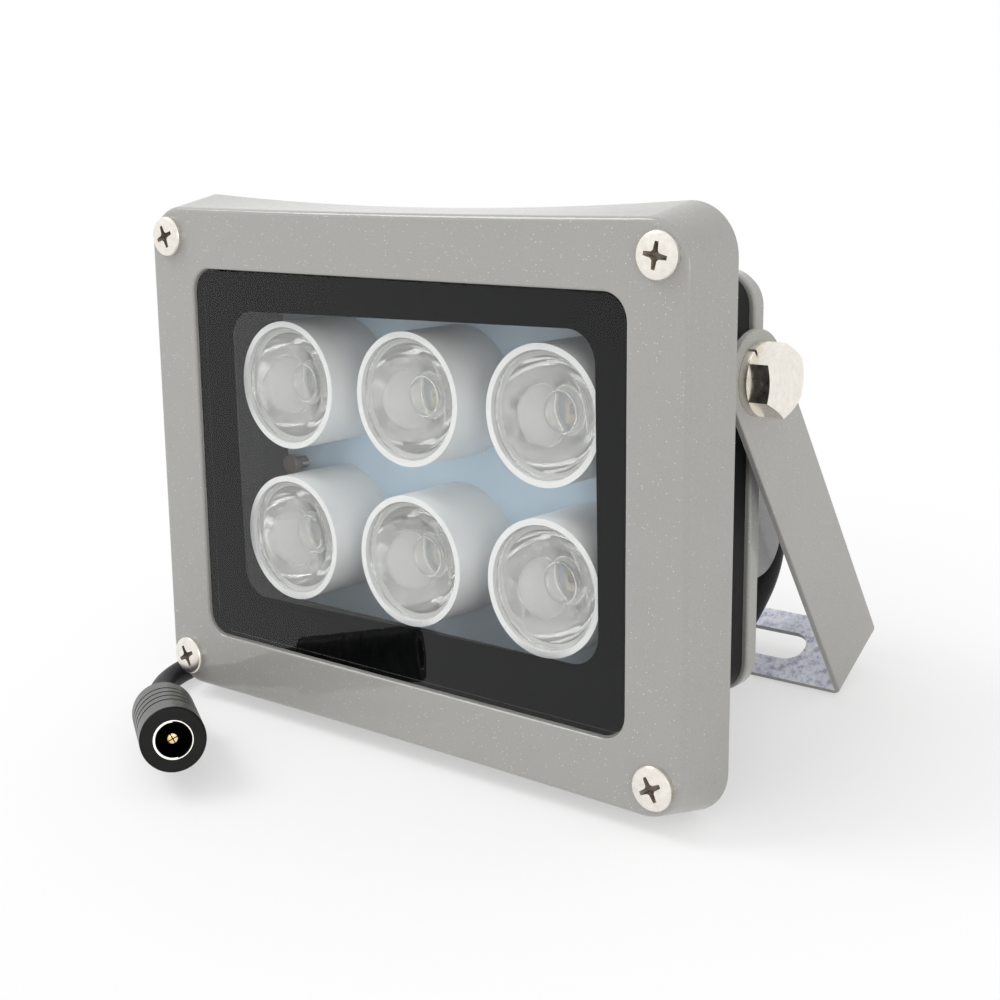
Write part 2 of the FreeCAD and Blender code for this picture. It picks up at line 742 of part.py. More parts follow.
# Cable gland: screwed body in the rear casting and a cap nut that tapers to the cable
gland_flange = rear_face + gland_flange_t
gland_nut_end = gland_flange + gland_nut_t
gland_end = gland_nut_end + gland_cone_t
gland_bore = cord_r + gland_bore_gap
gland_flange_solid = hexagon_y(gland_af, rear_face, gland_flange, gland_x, gland_z, 0.0)
gland_body = gland_flange_solid.fuse(rod(gland_x, gland_z, gland_spigot_r, rear_front, rear_face))
gland_body = gland_body.cut(rod(gland_x, gland_z, gland_bore, rear_front - over, gland_flange + over))
pieces["gland_body"] = gland_body.removeSplitter()
nut = hexagon_y(gland_af, gland_flange, gland_nut_end, gland_x, gland_z, gland_turn)
cone_base = V(gland_x, gland_nut_end, gland_z)
nut = nut.fuse(Part.makeCone(gland_af / 2 - gland_shoulder, gland_tip_r, gland_cone_t, cone_base, Y_AXIS))
pieces["gland_nut"] = nut.removeSplitter()

# Pivot bolts, spring washers and flat washers
washers = []
springs = []
bolts = []
crown_slope = math.tan(math.radians(bolt_crown_turn))
for side in (1, -1):
    spring_x = arm_outer + side_gap
    head_x = spring_x + spring_washer_t
    spring = cross_rod(pivot_y, pivot_z, spring_washer_r, spring_x, head_x)
    spring_bore = cross_rod(pivot_y, pivot_z, bolt_r + spring_bore_gap, spring_x - over, head_x + over)
    spring = spring.cut(spring_bore)
    slit_low = pivot_z + bolt_r - over
    slit_high = pivot_z + spring_washer_r + over
    slit_y = pivot_y - spring_split / 2
    slit = block(spring_x - over, head_x + over, slit_y, slit_y + spring_split, slit_low, slit_high)
    slit.rotate(V(arm_outer, pivot_y, pivot_z), X_AXIS, spring_split_turn)
    spring = spring.cut(slit)
    head = hexagon(bolt_af, head_x, head_x + bolt_head_t, pivot_y, pivot_z, 90.0)
    crown_tip = bolt_af / 2 - bolt_chamfer
    crown_root = crown_tip + bolt_head_t / crown_slope
    crown = Part.makeCone(crown_root, crown_tip, bolt_head_t, V(head_x, pivot_y, pivot_z), X_AXIS)
    head = head.common(crown)
    shank_end = head_x - spring_washer_t - bolt_reach
    shank = cross_rod(pivot_y, pivot_z, bolt_r, shank_end, head_x + lap)
    bolt = head.fuse(shank).removeSplitter()
    washer = cross_rod(pivot_y, pivot_z, flat_washer_r, rear_hw, arm_inner - side_gap)
    washer_bore_r = bolt_r + flat_washer_bore_gap
    washer = washer.cut(cross_rod(pivot_y, pivot_z, washer_bore_r, rear_hw - over, arm_inner + over))
    if side < 0:
        spring = spring.mirror(V(0, 0, 0), X_AXIS)
        bolt = bolt.mirror(V(0, 0, 0), X_AXIS)
        washer = washer.mirror(V(0, 0, 0), X_AXIS)
    springs.append(spring)
    bolts.append(bolt)
    washers.append(washer)
pieces["pivot_bolts"] = Part.Compound(bolts)
pieces["spring_washers"] = Part.Compound(springs)
pieces["flat_washers"] = Part.Compound(washers)

# U bracket, drawn hanging straight down from the pivot and then swung back
strip_half = bracket_strip / 2
outer_bend = bracket_bend_r + bracket_t


def channel(half_width, bottom, r):
    # Plate-shaped block with its two lower edges rounded, open at the top for arms.
    shape = block(-half_width, half_width, -strip_half, strip_half, bottom, strip_half)
    low = pick_edges(shape, lambda e: e.BoundBox.ZMax < bottom + 1e-6 and e.BoundBox.YLength > strip_half)
    return shape.makeFillet(r, low)


def on_outside(edge):
    # Edges of the strip's outer face, which runs down both arms and under the base.
    middle = edge.valueAt((edge.FirstParameter + edge.LastParameter) / 2)
    across = max(abs(middle.x) - arm_inner, -middle.z - bracket_drop + bracket_t)
    corner = math.hypot(abs(middle.x) - arm_outer + outer_bend, middle.z + bracket_drop - outer_bend)
    on_bend = abs(middle.x) > arm_outer - outer_bend and middle.z < outer_bend - bracket_drop
    if on_bend:
        return corner > outer_bend - bracket_edge_r
    return across > bracket_t - 1e-6


inner_shape = channel(arm_inner, -bracket_drop + bracket_t, bracket_bend_r)
cap_end = strip_half + over
cap = block(-arm_inner, arm_inner, -cap_end, cap_end, strip_half - over, cap_end)
bracket = channel(arm_outer, -bracket_drop, outer_bend).cut(inner_shape).cut(cap)
ends = block(-arm_outer, arm_outer, -strip_half, strip_half, -bracket_drop, 0)
bracket = bracket.common(ends.fuse(cross_rod(0, 0, strip_half, -arm_outer, arm_outer))).removeSplitter()
bracket = bracket.makeFillet(bracket_edge_r, pick_edges(bracket, on_outside))
bracket = bracket.cut(cross_rod(0, 0, bolt_r + bolt_run_gap, -arm_outer - over, arm_outer + over))
base_low = -bracket_drop - bracket_t
bracket = bracket.cut(Part.makeCylinder(base_hole_r, 3 * bracket_t, V(0, 0, base_low), Z_AXIS))
for side in (1, -1):
    x0 = side * (slot_end - slot_w / 2)
    x1 = side * (slot_end - slot_len + slot_w / 2)
    cutter = block(min(x0, x1), max(x0, x1), -slot_w / 2, slot_w / 2, base_low, base_low + 3 * bracket_t)
    for x in (x0, x1):
        cutter = cutter.fuse(Part.makeCylinder(slot_w / 2, 3 * bracket_t, V(x, 0, base_low), Z_AXIS))
    bracket = bracket.cut(cutter)
bracket = bracket.removeSplitter()
bracket.rotate(V(0, 0, 0), X_AXIS, bracket_angle)
bracket.translate(V(0, pivot_y, pivot_z))
pieces["bracket"] = bracket

# The lamp leans back until the skirt's rear lower edge and the bracket's front edge meet the floor.
# That front edge is rounded, so the floor touches it beside the centre of its rounding.
ang = math.radians(bracket_angle)
foot_down = bracket_drop - bracket_edge_r
foot_across = strip_half - bracket_edge_r
foot_run = pivot_y + foot_down * math.sin(ang) - foot_across * math.cos(ang) - bezel_depth
foot_rise = pivot_z - foot_down * math.cos(ang) - foot_across * math.sin(ang) + bezel_h / 2
tilt = math.atan2(foot_rise, foot_run) - math.asin(bracket_edge_r / math.hypot(foot_run, foot_rise))


def stand(shape):
    # Turns a piece back by the tilt, about the x axis; the move to the floor follows.
    shape = shape.copy()
    shape.rotate(V(0, 0, 0), X_AXIS, -math.degrees(tilt))
    return shape


for name in list(pieces):
    pieces[name] = stand(pieces[name])
lift = bezel_depth * math.sin(tilt) + bezel_h / 2 * math.cos(tilt)
bounds = FreeCAD.BoundBox()
for shape in pieces.values():
    bounds.add(shape.BoundBox)
shift = -(bounds.YMin + bounds.YMax) / 2
for name in list(pieces):
    pieces[name].translate(V(0, shift, lift))


def to_world(x, y, z):
    c = math.cos(tilt)
    s = math.sin(tilt)
    return V(x, y * c + z * s + shift, -y * s + z * c + lift)


# Round power socket on the floor, its front raised a little: drawn along +x from its face
back_dir = V(
    math.cos(math.radians(jack_lift)) * math.cos(math.radians(jack_turn)),
    math.cos(math.radians(jack_lift)) * math.sin(math.radians(jack_turn)),
    -math.sin(math.radians(jack_lift)))


def jack_rod(r, a, b):
    return Part.makeCylinder(r, b - a, jack_face + back_dir * a, back_dir)


def rim_at(shape, along, radius):
    # The circular edges centred on the socket's axis at a distance along it.
    centre = jack_face + back_dir * along
    around = 2 * math.pi * radius
    near = pick_edges(shape, lambda e: (e.CenterOfMass - centre).Length < 1e-4)
    return [edge for edge in near if abs(edge.Length - around) < 1e-3]


sleeve_r = jack_bore_r + jack_sleeve_t
shell = jack_rod(jack_r, 0, jack_len)
shell = shell.makeFillet(jack_edge_r, rim_at(shell, 0, jack_r) + rim_at(shell, jack_len, jack_r))
boot_root = jack_face + back_dir * jack_len
boot = Part.makeCone(jack_boot_root_r, jack_boot_tip_r, jack_boot_len, boot_root, back_dir)
shell = shell.fuse(boot)
for k in range(jack_groove_count):
    a = jack_groove_first + k * jack_groove_pitch
    ring = jack_rod(jack_r + over, a, a + jack_groove_w)
    shell = shell.cut(ring.cut(jack_rod(jack_groove_r, a - over, a + jack_groove_w + over)))
shell = shell.cut(jack_rod(sleeve_r, -over, jack_bore_depth + jack_plug_t))
pieces["jack_body"] = shell.removeSplitter()
sleeve = jack_rod(sleeve_r, 0, jack_bore_depth)
pieces["jack_sleeve"] = sleeve.cut(jack_rod(jack_bore_r, -over, jack_bore_depth + over))
inner_end = jack_bore_depth + jack_plug_t
pieces["jack_insulator"] = jack_rod(sleeve_r, jack_bore_depth, inner_end)
pin = jack_rod(jack_pin_r, jack_pin_short, jack_bore_depth)
pieces["jack_pin"] = pin.makeFillet(jack_pin_round, rim_at(pin, jack_pin_short, jack_pin_r))

# Cable from the gland to the socket
gland_tip = to_world(gland_x, gland_end, gland_z)
away = to_world(gland_x, gland_end + 1.0, gland_z) - gland_tip
cord_end = jack_face + back_dir * (jack_len + jack_boot_len)
cord_points = [
    gland_tip,
    gland_tip + away * cable_exit_run,
    V(31.5, 36.0, 29.3),
    V(31.5, 34.3, 17.2),
    V(31.2, 25.1, 9.5),
    V(29.0, 14.8, 2.6),
    V(19.5, 5.0, 2.2),
    V(3.0, -3.0, 2.2),
    V(-17.0, -7.0, 2.2),
    V(-36.0, -8.2, 2.2),
    V(-50.0, -11.5, 2.2),
    V(-58.9, -20.5, 2.2),
    V(-59.6, -33.5, 2.2),
    cord_end + back_dir * cable_entry_run,
    cord_end]
cable, radii, length, ratio = tube(cord_points, cord_r)
pieces["cable"] = cable

for name in sorted(pieces):
    shape = pieces[name]
    if not shape.isValid():
        print("not valid", name)
    shape.exportStep("parts/%s.step" % name)

print("nodes", len(pieces))
print("tilt", round(math.degrees(tilt), 3), "lift", round(lift, 4), "shift", round(shift, 4))
pivot = to_world(0, pivot_y, pivot_z)
print("pivot", [round(c, 3) for c in pivot])
print("cord radii", [round(r, 1) for r in radii])
print("cord length", round(length, 1), "volume ratio", round(ratio, 4))
print("cord points", [[round(c, 2) for c in p] for p in cord_points])
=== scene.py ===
import json
import math

import bmesh
import bpy
from mathutils import Matrix, Vector


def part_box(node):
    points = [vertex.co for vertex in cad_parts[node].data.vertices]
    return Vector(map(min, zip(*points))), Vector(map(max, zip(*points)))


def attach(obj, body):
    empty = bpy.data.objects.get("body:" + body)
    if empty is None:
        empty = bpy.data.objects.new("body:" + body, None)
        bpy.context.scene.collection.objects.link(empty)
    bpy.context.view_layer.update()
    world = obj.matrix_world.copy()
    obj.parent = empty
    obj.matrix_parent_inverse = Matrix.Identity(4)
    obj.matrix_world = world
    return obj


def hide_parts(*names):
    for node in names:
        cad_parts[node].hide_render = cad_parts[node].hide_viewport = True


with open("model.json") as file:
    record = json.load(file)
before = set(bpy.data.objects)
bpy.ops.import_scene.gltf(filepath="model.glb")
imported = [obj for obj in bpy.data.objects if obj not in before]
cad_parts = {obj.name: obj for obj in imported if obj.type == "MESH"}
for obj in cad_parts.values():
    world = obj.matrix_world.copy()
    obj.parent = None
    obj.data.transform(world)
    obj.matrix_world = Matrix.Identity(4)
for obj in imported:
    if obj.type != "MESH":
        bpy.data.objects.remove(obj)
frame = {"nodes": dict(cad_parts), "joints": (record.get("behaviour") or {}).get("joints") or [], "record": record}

bl_info = {
    "name": "LED flood light dressing",
    "version": (1, 0, 0),
    "blender": (4, 5, 0),
    "location": "View3D > Sidebar > Flood Light",
    "description": "Dresses the framed flood light: paint, glass, optics, screws, cable, socket and studio",
    "category": "Object",
}

MM = 0.001
HEAD = "lamp_head"


def middle_of(box):
    return (box[0] + box[1]) / 2


# The lamp's own axes: x to the right, y from the glass to the fins, z up its face. The glass and
# the lamp board share one axis, which gives the lean, and the bezel's front face is at y = 0.
def lamp_frame():
    axis = (middle_of(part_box("led_board")) - middle_of(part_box("glass_panel"))).normalized()
    upright = Matrix.Rotation(math.atan2(-axis.z, axis.y), 4, "X")
    points = [upright @ v.co for v in frame["nodes"]["bezel"].data.vertices]
    front = min(p.y for p in points)
    middle = (min(p.z for p in points) + max(p.z for p in points)) / 2
    return Matrix.Translation((0, -front, -middle)) @ upright


TO_LAMP = lamp_frame()
FROM_LAMP = TO_LAMP.inverted()


def extent(points):
    # Lowest and highest corner of a cloud of points.
    low = Vector(min(p[i] for p in points) for i in range(3))
    high = Vector(max(p[i] for p in points) for i in range(3))
    return low, high


def lamp_box(name, matrix=TO_LAMP):
    # Extent of a node along the lamp's own axes, or along those that the matrix turns it to.
    return extent([matrix @ v.co for v in frame["nodes"][name].data.vertices])


def mount(name):
    return next(m for m in frame["record"]["mounts"] if m["name"] == name)


GLASS = lamp_box("glass_panel")
BOARD = lamp_box("led_board")
# The six lenses, holders and emitters are numbered from 1.
NUMBERS = range(1, 7)


# Shader helpers
def new_material(name):
    mat = bpy.data.materials.new(name)
    mat.use_nodes = True
    tree = mat.node_tree
    tree.nodes.clear()
    out = tree.nodes.new("ShaderNodeOutputMaterial")
    shader = tree.nodes.new("ShaderNodeBsdfPrincipled")
    tree.links.new(shader.outputs["BSDF"], out.inputs["Surface"])
    return mat, tree, shader


def settings(shader, **values):
    names = {
        "colour": "Base Color", "metal": "Metallic", "rough": "Roughness", "ior": "IOR",
        "coat": "Coat Weight", "coat_rough": "Coat Roughness", "specular": "Specular IOR Level",
        "through": "Transmission Weight"}
    for key, value in values.items():
        if key == "colour":
            value = (*value, 1.0)
        shader.inputs[names[key]].default_value = value


def place(tree, matrix=TO_LAMP):
    # Object coordinates in metres, turned to the lamp's own axes or to those of the matrix.
    coords = tree.nodes.new("ShaderNodeTexCoord")
    mapping = tree.nodes.new("ShaderNodeMapping")
    mapping.inputs["Location"].default_value = matrix.to_translation()
    mapping.inputs["Rotation"].default_value = matrix.to_euler()
    tree.links.new(coords.outputs["Object"], mapping.inputs["Vector"])
    return mapping.outputs["Vector"]


def noise(tree, vector, size, detail=2.0, roughness=0.5):
    # Fac of a noise whose features are about size metres across.
    node = tree.nodes.new("ShaderNodeTexNoise")
    node.inputs["Scale"].default_value = 1.0 / size
    node.inputs["Detail"].default_value = detail
    node.inputs["Roughness"].default_value = roughness
    tree.links.new(vector, node.inputs["Vector"])
    return node.outputs["Fac"]


def ramp(tree, fac, stops):
    node = tree.nodes.new("ShaderNodeValToRGB")
    elements = node.color_ramp.elements
    while len(elements) < len(stops):
        elements.new(0.5)
    for element, (position, value) in zip(elements, stops):
        element.position = position
        element.color = (*value, 1.0) if hasattr(value, "__len__") else (value, value, value, 1.0)
    tree.links.new(fac, node.inputs["Fac"])
    return node.outputs["Color"]


def maths(tree, operation, a, b):
    # Result of an operation on two numbers or sockets.
    node = tree.nodes.new("ShaderNodeMath")
    node.operation = operation
    for socket, value in zip(node.inputs, (a, b)):
        if isinstance(value, (int, float)):
            socket.default_value = value
        else:
            tree.links.new(value, socket)
    return node.outputs["Value"]


def axes(tree, vector):
    # The three coordinates of a vector, by their letters.
    node = tree.nodes.new("ShaderNodeSeparateXYZ")
    tree.links.new(vector, node.inputs["Vector"])
    return node.outputs


def size_of(tree, value):
    # The value without its sign.
    return maths(tree, "ABSOLUTE", value, 0.0)


def squared_radius(tree, a, b):
    # Square of the distance from an axis, from the two coordinates across it.
    return maths(tree, "ADD", maths(tree, "MULTIPLY", a, a), maths(tree, "MULTIPLY", b, b))


def mixed(tree, fac, a, b):
    # Colour a where fac is 0 and b where it is 1.
    node = tree.nodes.new("ShaderNodeMix")
    node.data_type = "RGBA"
    tree.links.new(fac, node.inputs["Factor"])
    for socket, value in ((node.inputs["A"], a), (node.inputs["B"], b)):
        if hasattr(value, "__len__"):
            socket.default_value = (*value, 1.0)
        else:
            tree.links.new(value, socket)
    return node.outputs["Result"]


def bump(tree, shader, height, depth, strength):
    node = tree.nodes.new("ShaderNodeBump")
    node.inputs["Strength"].default_value = strength
    node.inputs["Distance"].default_value = depth
    tree.links.new(height, node.inputs["Height"])
    tree.links.new(node.outputs["Normal"], shader.inputs["Normal"])


def specks(tree, vector, size, share, radius, spread):
    # Round flecks in a share of the cells of a grid of about size metres; spread makes most faint.
    node = tree.nodes.new("ShaderNodeTexVoronoi")
    node.inputs["Scale"].default_value = 1.0 / size
    tree.links.new(vector, node.inputs["Vector"])
    split = tree.nodes.new("ShaderNodeSeparateColor")
    tree.links.new(node.outputs["Color"], split.inputs["Color"])
    chosen = maths(tree, "GREATER_THAN", split.outputs["Red"], 1.0 - share)
    near = maths(tree, "LESS_THAN", node.outputs["Distance"], radius)
    fleck = maths(tree, "MULTIPLY", chosen, near)
    return maths(tree, "MULTIPLY", fleck, maths(tree, "POWER", split.outputs["Green"], spread))


def paint_tone(tree, at, colour, fleck):
    # Warm grey powder: fine grain, slow mottling and scattered metal flecks.
    dark = [c * 0.94 for c in colour]
    light = [c * 1.06 for c in colour]
    grain = ramp(tree, noise(tree, at, 0.3 * MM, 2.0, 0.6), [(0.30, dark), (0.70, light)])
    mottle = ramp(tree, noise(tree, at, 7.0 * MM), [(0.35, 0.0), (0.7, 0.35)])
    base = mixed(tree, mottle, grain, light)
    return mixed(tree, specks(tree, at, 0.45 * MM, share=0.5, radius=0.17, spread=2.2), base, fleck)


def behind_glass(tree, at):
    # 1 on walls that stand behind the glass, within its outline and its play in the seat.
    where = axes(tree, at)
    play = 0.5 * MM
    reach = (GLASS[1] - GLASS[0]) / 2
    across = maths(tree, "LESS_THAN", size_of(tree, where["X"]), reach.x + play)
    upright = maths(tree, "LESS_THAN", size_of(tree, where["Z"]), reach.z + play)
    deep = maths(tree, "GREATER_THAN", where["Y"], GLASS[1].y)
    return maths(tree, "MULTIPLY", deep, maths(tree, "MULTIPLY", across, upright))


def powder_paint(name, colour, fleck, painted_shade_inside):
    # Glossy powder coat with a soft orange peel; the walls behind the glass may get painted shade, a near-black
    # colour.
    mat, tree, shader = new_material(name)
    at = place(tree)
    tone = paint_tone(tree, at, colour, fleck)
    if painted_shade_inside:
        # Painted shade: the walls behind the glass turn near black, as they would lie in shade.
        tone = mixed(tree, behind_glass(tree, at), tone, (0.02, 0.02, 0.02))
    tree.links.new(tone, shader.inputs["Base Color"])
    rough = ramp(tree, noise(tree, at, 1.5 * MM), [(0.3, 0.40), (0.7, 0.50)])
    tree.links.new(rough, shader.inputs["Roughness"])
    settings(shader, coat=0.9, coat_rough=0.08, specular=0.3)
    bump(tree, shader, noise(tree, at, 1.1 * MM), 0.04 * MM, 0.25)
    return mat


def two_sided_strip(look, matrix, inner_x, inner_z):
    # The bracket: thinner, paler paint outside, mottled zinc plate on the faces that look inwards.
    mat, tree, shader = new_material("grey_strip_paint")
    at = place(tree, matrix)
    paint = paint_tone(tree, at, [c * 1.17 for c in look.paint], look.fleck)
    blotch = noise(tree, at, 1.1 * MM, 3.0, 0.65)
    dull = [c * 0.62 for c in look.plate]
    bright = [min(1.0, c * 1.45) for c in look.plate]
    zinc = ramp(tree, blotch, [(0.34, dull), (0.5, look.plate), (0.66, bright)])
    where = axes(tree, at)
    within = maths(tree, "LESS_THAN", size_of(tree, where["X"]), inner_x)
    above = maths(tree, "GREATER_THAN", where["Z"], inner_z)
    inside = maths(tree, "MULTIPLY", within, above)
    tree.links.new(mixed(tree, inside, paint, zinc), shader.inputs["Base Color"])
    tree.links.new(maths(tree, "MULTIPLY", inside, 0.5), shader.inputs["Metallic"])
    tree.links.new(ramp(tree, inside, [(0.0, 0.45), (1.0, 0.55)]), shader.inputs["Roughness"])
    settings(shader, specular=0.4)
    bump(tree, shader, blotch, 0.03 * MM, 0.3)
    return mat


def plain_metal(name, colour, rough):
    # Plated steel or brass: tint and roughness vary a little, as on tumbled hardware.
    mat, tree, shader = new_material(name)
    at = place(tree)
    cloud = noise(tree, at, 1.1 * MM, 3.0, 0.55)
    tint = ramp(tree, cloud, [(0.3, [c * 0.86 for c in colour]), (0.7, colour)])
    tree.links.new(tint, shader.inputs["Base Color"])
    polish = ramp(tree, cloud, [(0.3, rough * 0.8), (0.7, rough * 1.3)])
    tree.links.new(polish, shader.inputs["Roughness"])
    settings(shader, metal=1.0)
    bump(tree, shader, noise(tree, at, 0.4 * MM), 0.01 * MM, 0.25)
    return mat


def moulding(name, colour, rough, grain=0.5 * MM, depth=0.02 * MM, specular=0.5, clouding=0.12):
    # Moulded plastic or rubber with a fine surface grain, or printed ink where the depth is 0.
    mat, tree, shader = new_material(name)
    at = place(tree)
    cloud = noise(tree, at, 4.0 * MM)
    dark = [c * (1 - clouding) for c in colour]
    light = [min(1.0, c * (1 + clouding)) for c in colour]
    tree.links.new(ramp(tree, cloud, [(0.3, dark), (0.7, light)]), shader.inputs["Base Color"])
    satin = [(0.3, rough * 0.88), (0.7, min(1.0, rough * 1.12))]
    tree.links.new(ramp(tree, noise(tree, at, grain * 3), satin), shader.inputs["Roughness"])
    settings(shader, specular=specular)
    if depth:
        bump(tree, shader, noise(tree, at, grain, 3.0), depth, 0.5)
    return mat


def clear(name, colour, ior, rough, coat=0.0, through=1.0):
    # Clear glass or acrylic that lets the lamps through to what is behind it.
    mat, tree, shader = new_material(name)
    settings(shader, colour=colour, ior=ior, rough=rough, through=through, coat=coat, coat_rough=0.02)
    out = next(n for n in tree.nodes if n.type == "OUTPUT_MATERIAL")
    path = tree.nodes.new("ShaderNodeLightPath")
    window = tree.nodes.new("ShaderNodeBsdfTransparent")
    window.inputs["Color"].default_value = (1.0, 1.0, 1.0, 1.0)
    mix = tree.nodes.new("ShaderNodeMixShader")
    tree.links.new(path.outputs["Is Shadow Ray"], mix.inputs["Fac"])
    tree.links.new(shader.outputs["BSDF"], mix.inputs[1])
    tree.links.new(window.outputs["BSDF"], mix.inputs[2])
    tree.links.new(mix.outputs["Shader"], out.inputs["Surface"])
    return mat


def seen_by_eye(tree):
    # 1 where the camera looks, straight or by way of gloss or clear material.
    path = tree.nodes.new("ShaderNodeLightPath")
    seen = maths(tree, "MAXIMUM", path.outputs["Is Camera Ray"], path.outputs["Is Glossy Ray"])
    return maths(tree, "MAXIMUM", seen, path.outputs["Is Transmission Ray"])


# Mesh helpers
def finish_piece(bm, name, material, smooth):
    # Makes a mesh drawn in the lamp's axes an object at the origin that rides on the head; edges
    # sharper than smooth, in degrees, stay crisp.
    bmesh.ops.transform(bm, matrix=FROM_LAMP, verts=bm.verts)
    bmesh.ops.remove_doubles(bm, verts=bm.verts, dist=1e-7)
    bmesh.ops.recalc_face_normals(bm, faces=bm.faces)
    mesh = bpy.data.meshes.new(name)
    bm.to_mesh(mesh)
    bm.free()
    for polygon in mesh.polygons:
        polygon.use_smooth = True
    mesh.set_sharp_from_angle(angle=math.radians(smooth))
    obj = bpy.data.objects.new(name, mesh)
    bpy.context.scene.collection.objects.link(obj)
    mesh.materials.append(material)
    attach(obj, HEAD)
    return obj


def spun(bm, profile, matrix, steps):
    # Turns a profile of (radius, distance along the axis) about local z, then places it.
    before = len(bm.verts)
    verts = [bm.verts.new((r, 0.0, t)) for r, t in profile]
    edges = [bm.edges.new(pair) for pair in zip(verts[:-1], verts[1:])]
    bmesh.ops.spin(bm, geom=verts + edges, cent=(0, 0, 0), axis=(0, 0, 1), angle=math.tau, steps=steps,
                   use_merge=True)
    bm.verts.ensure_lookup_table()
    bmesh.ops.transform(bm, matrix=matrix, verts=bm.verts[before:])


def rounded_face(bm, half_w, half_h, radius, y):
    # Rectangle in a plane across the lamp's own y, with round corners.
    before = len(bm.verts)
    corners = [bm.verts.new((x, y, z)) for x, z in (
        (-half_w, -half_h), (half_w, -half_h), (half_w, half_h), (-half_w, half_h))]
    bm.faces.new(corners)
    bmesh.ops.bevel(bm, geom=corners, offset=radius, segments=8, profile=0.5, affect="VERTICES",
                    material=-1)
    bm.verts.ensure_lookup_table()
    return bm.verts[before].link_faces[0]


def along(direction, origin):
    # Matrix that turns local z to a direction and moves local zero to a point.
    turn = Vector(direction).to_track_quat("Z", "Y").to_matrix().to_4x4()
    return Matrix.Translation(origin) @ turn


def dress(names, material):
    # Gives CAD nodes their finish and slot.
    for name in names:
        obj = frame["nodes"][name]
        obj.data.materials.clear()
        obj.data.materials.append(material)
        for polygon in obj.data.polygons:
            polygon.material_index = 0


def cross_cutter(bm, reach, width, depth, matrix):
    # Cross with chamfered inner corners: straight above the head, tapered inside it.
    above = 0.4 * MM
    root = width * 1.7
    tip = width * 0.7
    outline = []
    for k in range(4):
        turn = Matrix.Rotation(math.radians(90 * k), 3, "Z")
        for x, y in ((root, -width), (reach, -tip), (reach, tip), (root, width)):
            outline.append(bm.verts.new(turn @ Vector((x, y, above))))
    layers = [[bm.faces.new(outline)]]
    made = list(outline)
    for drop, share in ((above + 0.02 * MM, 1.0), (depth, 0.62)):
        grown = bmesh.ops.extrude_face_region(bm, geom=layers[-1])["geom"]
        layers.append([f for f in grown if isinstance(f, bmesh.types.BMFace)])
        low = [v for v in grown if isinstance(v, bmesh.types.BMVert)]
        bmesh.ops.scale(bm, vec=(share, share, 1.0), verts=low)
        bmesh.ops.translate(bm, vec=(0, 0, -drop), verts=low)
        made += low
    # The first step's cap would stay as a wall inside the cutter.
    bmesh.ops.delete(bm, geom=layers[1], context="FACES_ONLY")
    bmesh.ops.transform(bm, matrix=matrix, verts=made)


def carve(obj, cutter_bm, recess_shade, smooth):
    # Cuts the closed cutter mesh out of the piece, in millimetres; the cut faces take the given material, which
    # paints the recess's shade.
    bmesh.ops.recalc_face_normals(cutter_bm, faces=cutter_bm.faces)
    mesh = bpy.data.meshes.new("cutter")
    cutter_bm.to_mesh(mesh)
    cutter_bm.free()
    mesh.materials.append(recess_shade)
    for data in (mesh, obj.data):
        data.transform(Matrix.Scale(1 / MM, 4))
    cutter = bpy.data.objects.new("cutter", mesh)
    bpy.context.scene.collection.objects.link(cutter)
    modifier = obj.modifiers.new("recess", "BOOLEAN")
    modifier.operation = "DIFFERENCE"
    modifier.solver = "EXACT"
    modifier.material_mode = "TRANSFER"
    modifier.object = cutter
    graph = bpy.context.evaluated_depsgraph_get()
    result = bpy.data.meshes.new_from_object(obj.evaluated_get(graph))
    obj.modifiers.clear()
    old = obj.data
    obj.data = result
    bpy.data.meshes.remove(old)
    bpy.data.objects.remove(cutter)
    bpy.data.meshes.remove(mesh)
    fewest = 50
    if len(result.polygons) < fewest:
        raise RuntimeError("the recess took nearly all of " + obj.name)
    result.transform(Matrix.Scale(MM, 4))
    for polygon in result.polygons:
        polygon.use_smooth = True
    result.set_sharp_from_angle(angle=math.radians(smooth))


def separate_boxes(name):
    # Boxes, in the lamp's axes, of the loose solids of one node.
    bm = bmesh.new()
    bm.from_mesh(frame["nodes"][name].data)
    bmesh.ops.remove_doubles(bm, verts=bm.verts, dist=1e-6)
    seen = set()
    boxes = []
    for start in bm.verts:
        if start in seen:
            continue
        seen.add(start)
        stack = [start]
        group = []
        while stack:
            vert = stack.pop()
            group.append(TO_LAMP @ vert.co)
            for edge in vert.link_edges:
                other = edge.other_vert(vert)
                if other not in seen:
                    seen.add(other)
                    stack.append(other)
        boxes.append(extent(group))
    bm.free()
    return boxes


# Sizes and colours that a user would change
class HousingSettings(bpy.types.PropertyGroup):
    paint: bpy.props.FloatVectorProperty(
        name="Paint", description="Warm grey of the castings", subtype="COLOR", size=3, min=0, max=1,
        default=(0.338, 0.332, 0.313))
    fleck: bpy.props.FloatVectorProperty(
        name="Fleck", description="Metal flecks in the paint", subtype="COLOR", size=3, min=0, max=1,
        default=(0.74, 0.73, 0.70))
    plate: bpy.props.FloatVectorProperty(
        name="Zinc plate", description="Inside of the bracket", subtype="COLOR", size=3, min=0, max=1,
        default=(0.84, 0.86, 0.98))
    black: bpy.props.FloatVectorProperty(
        name="Black moulding", description="Middle frame, gland and socket", subtype="COLOR", size=3,
        min=0, max=1, default=(0.011, 0.0115, 0.0105))


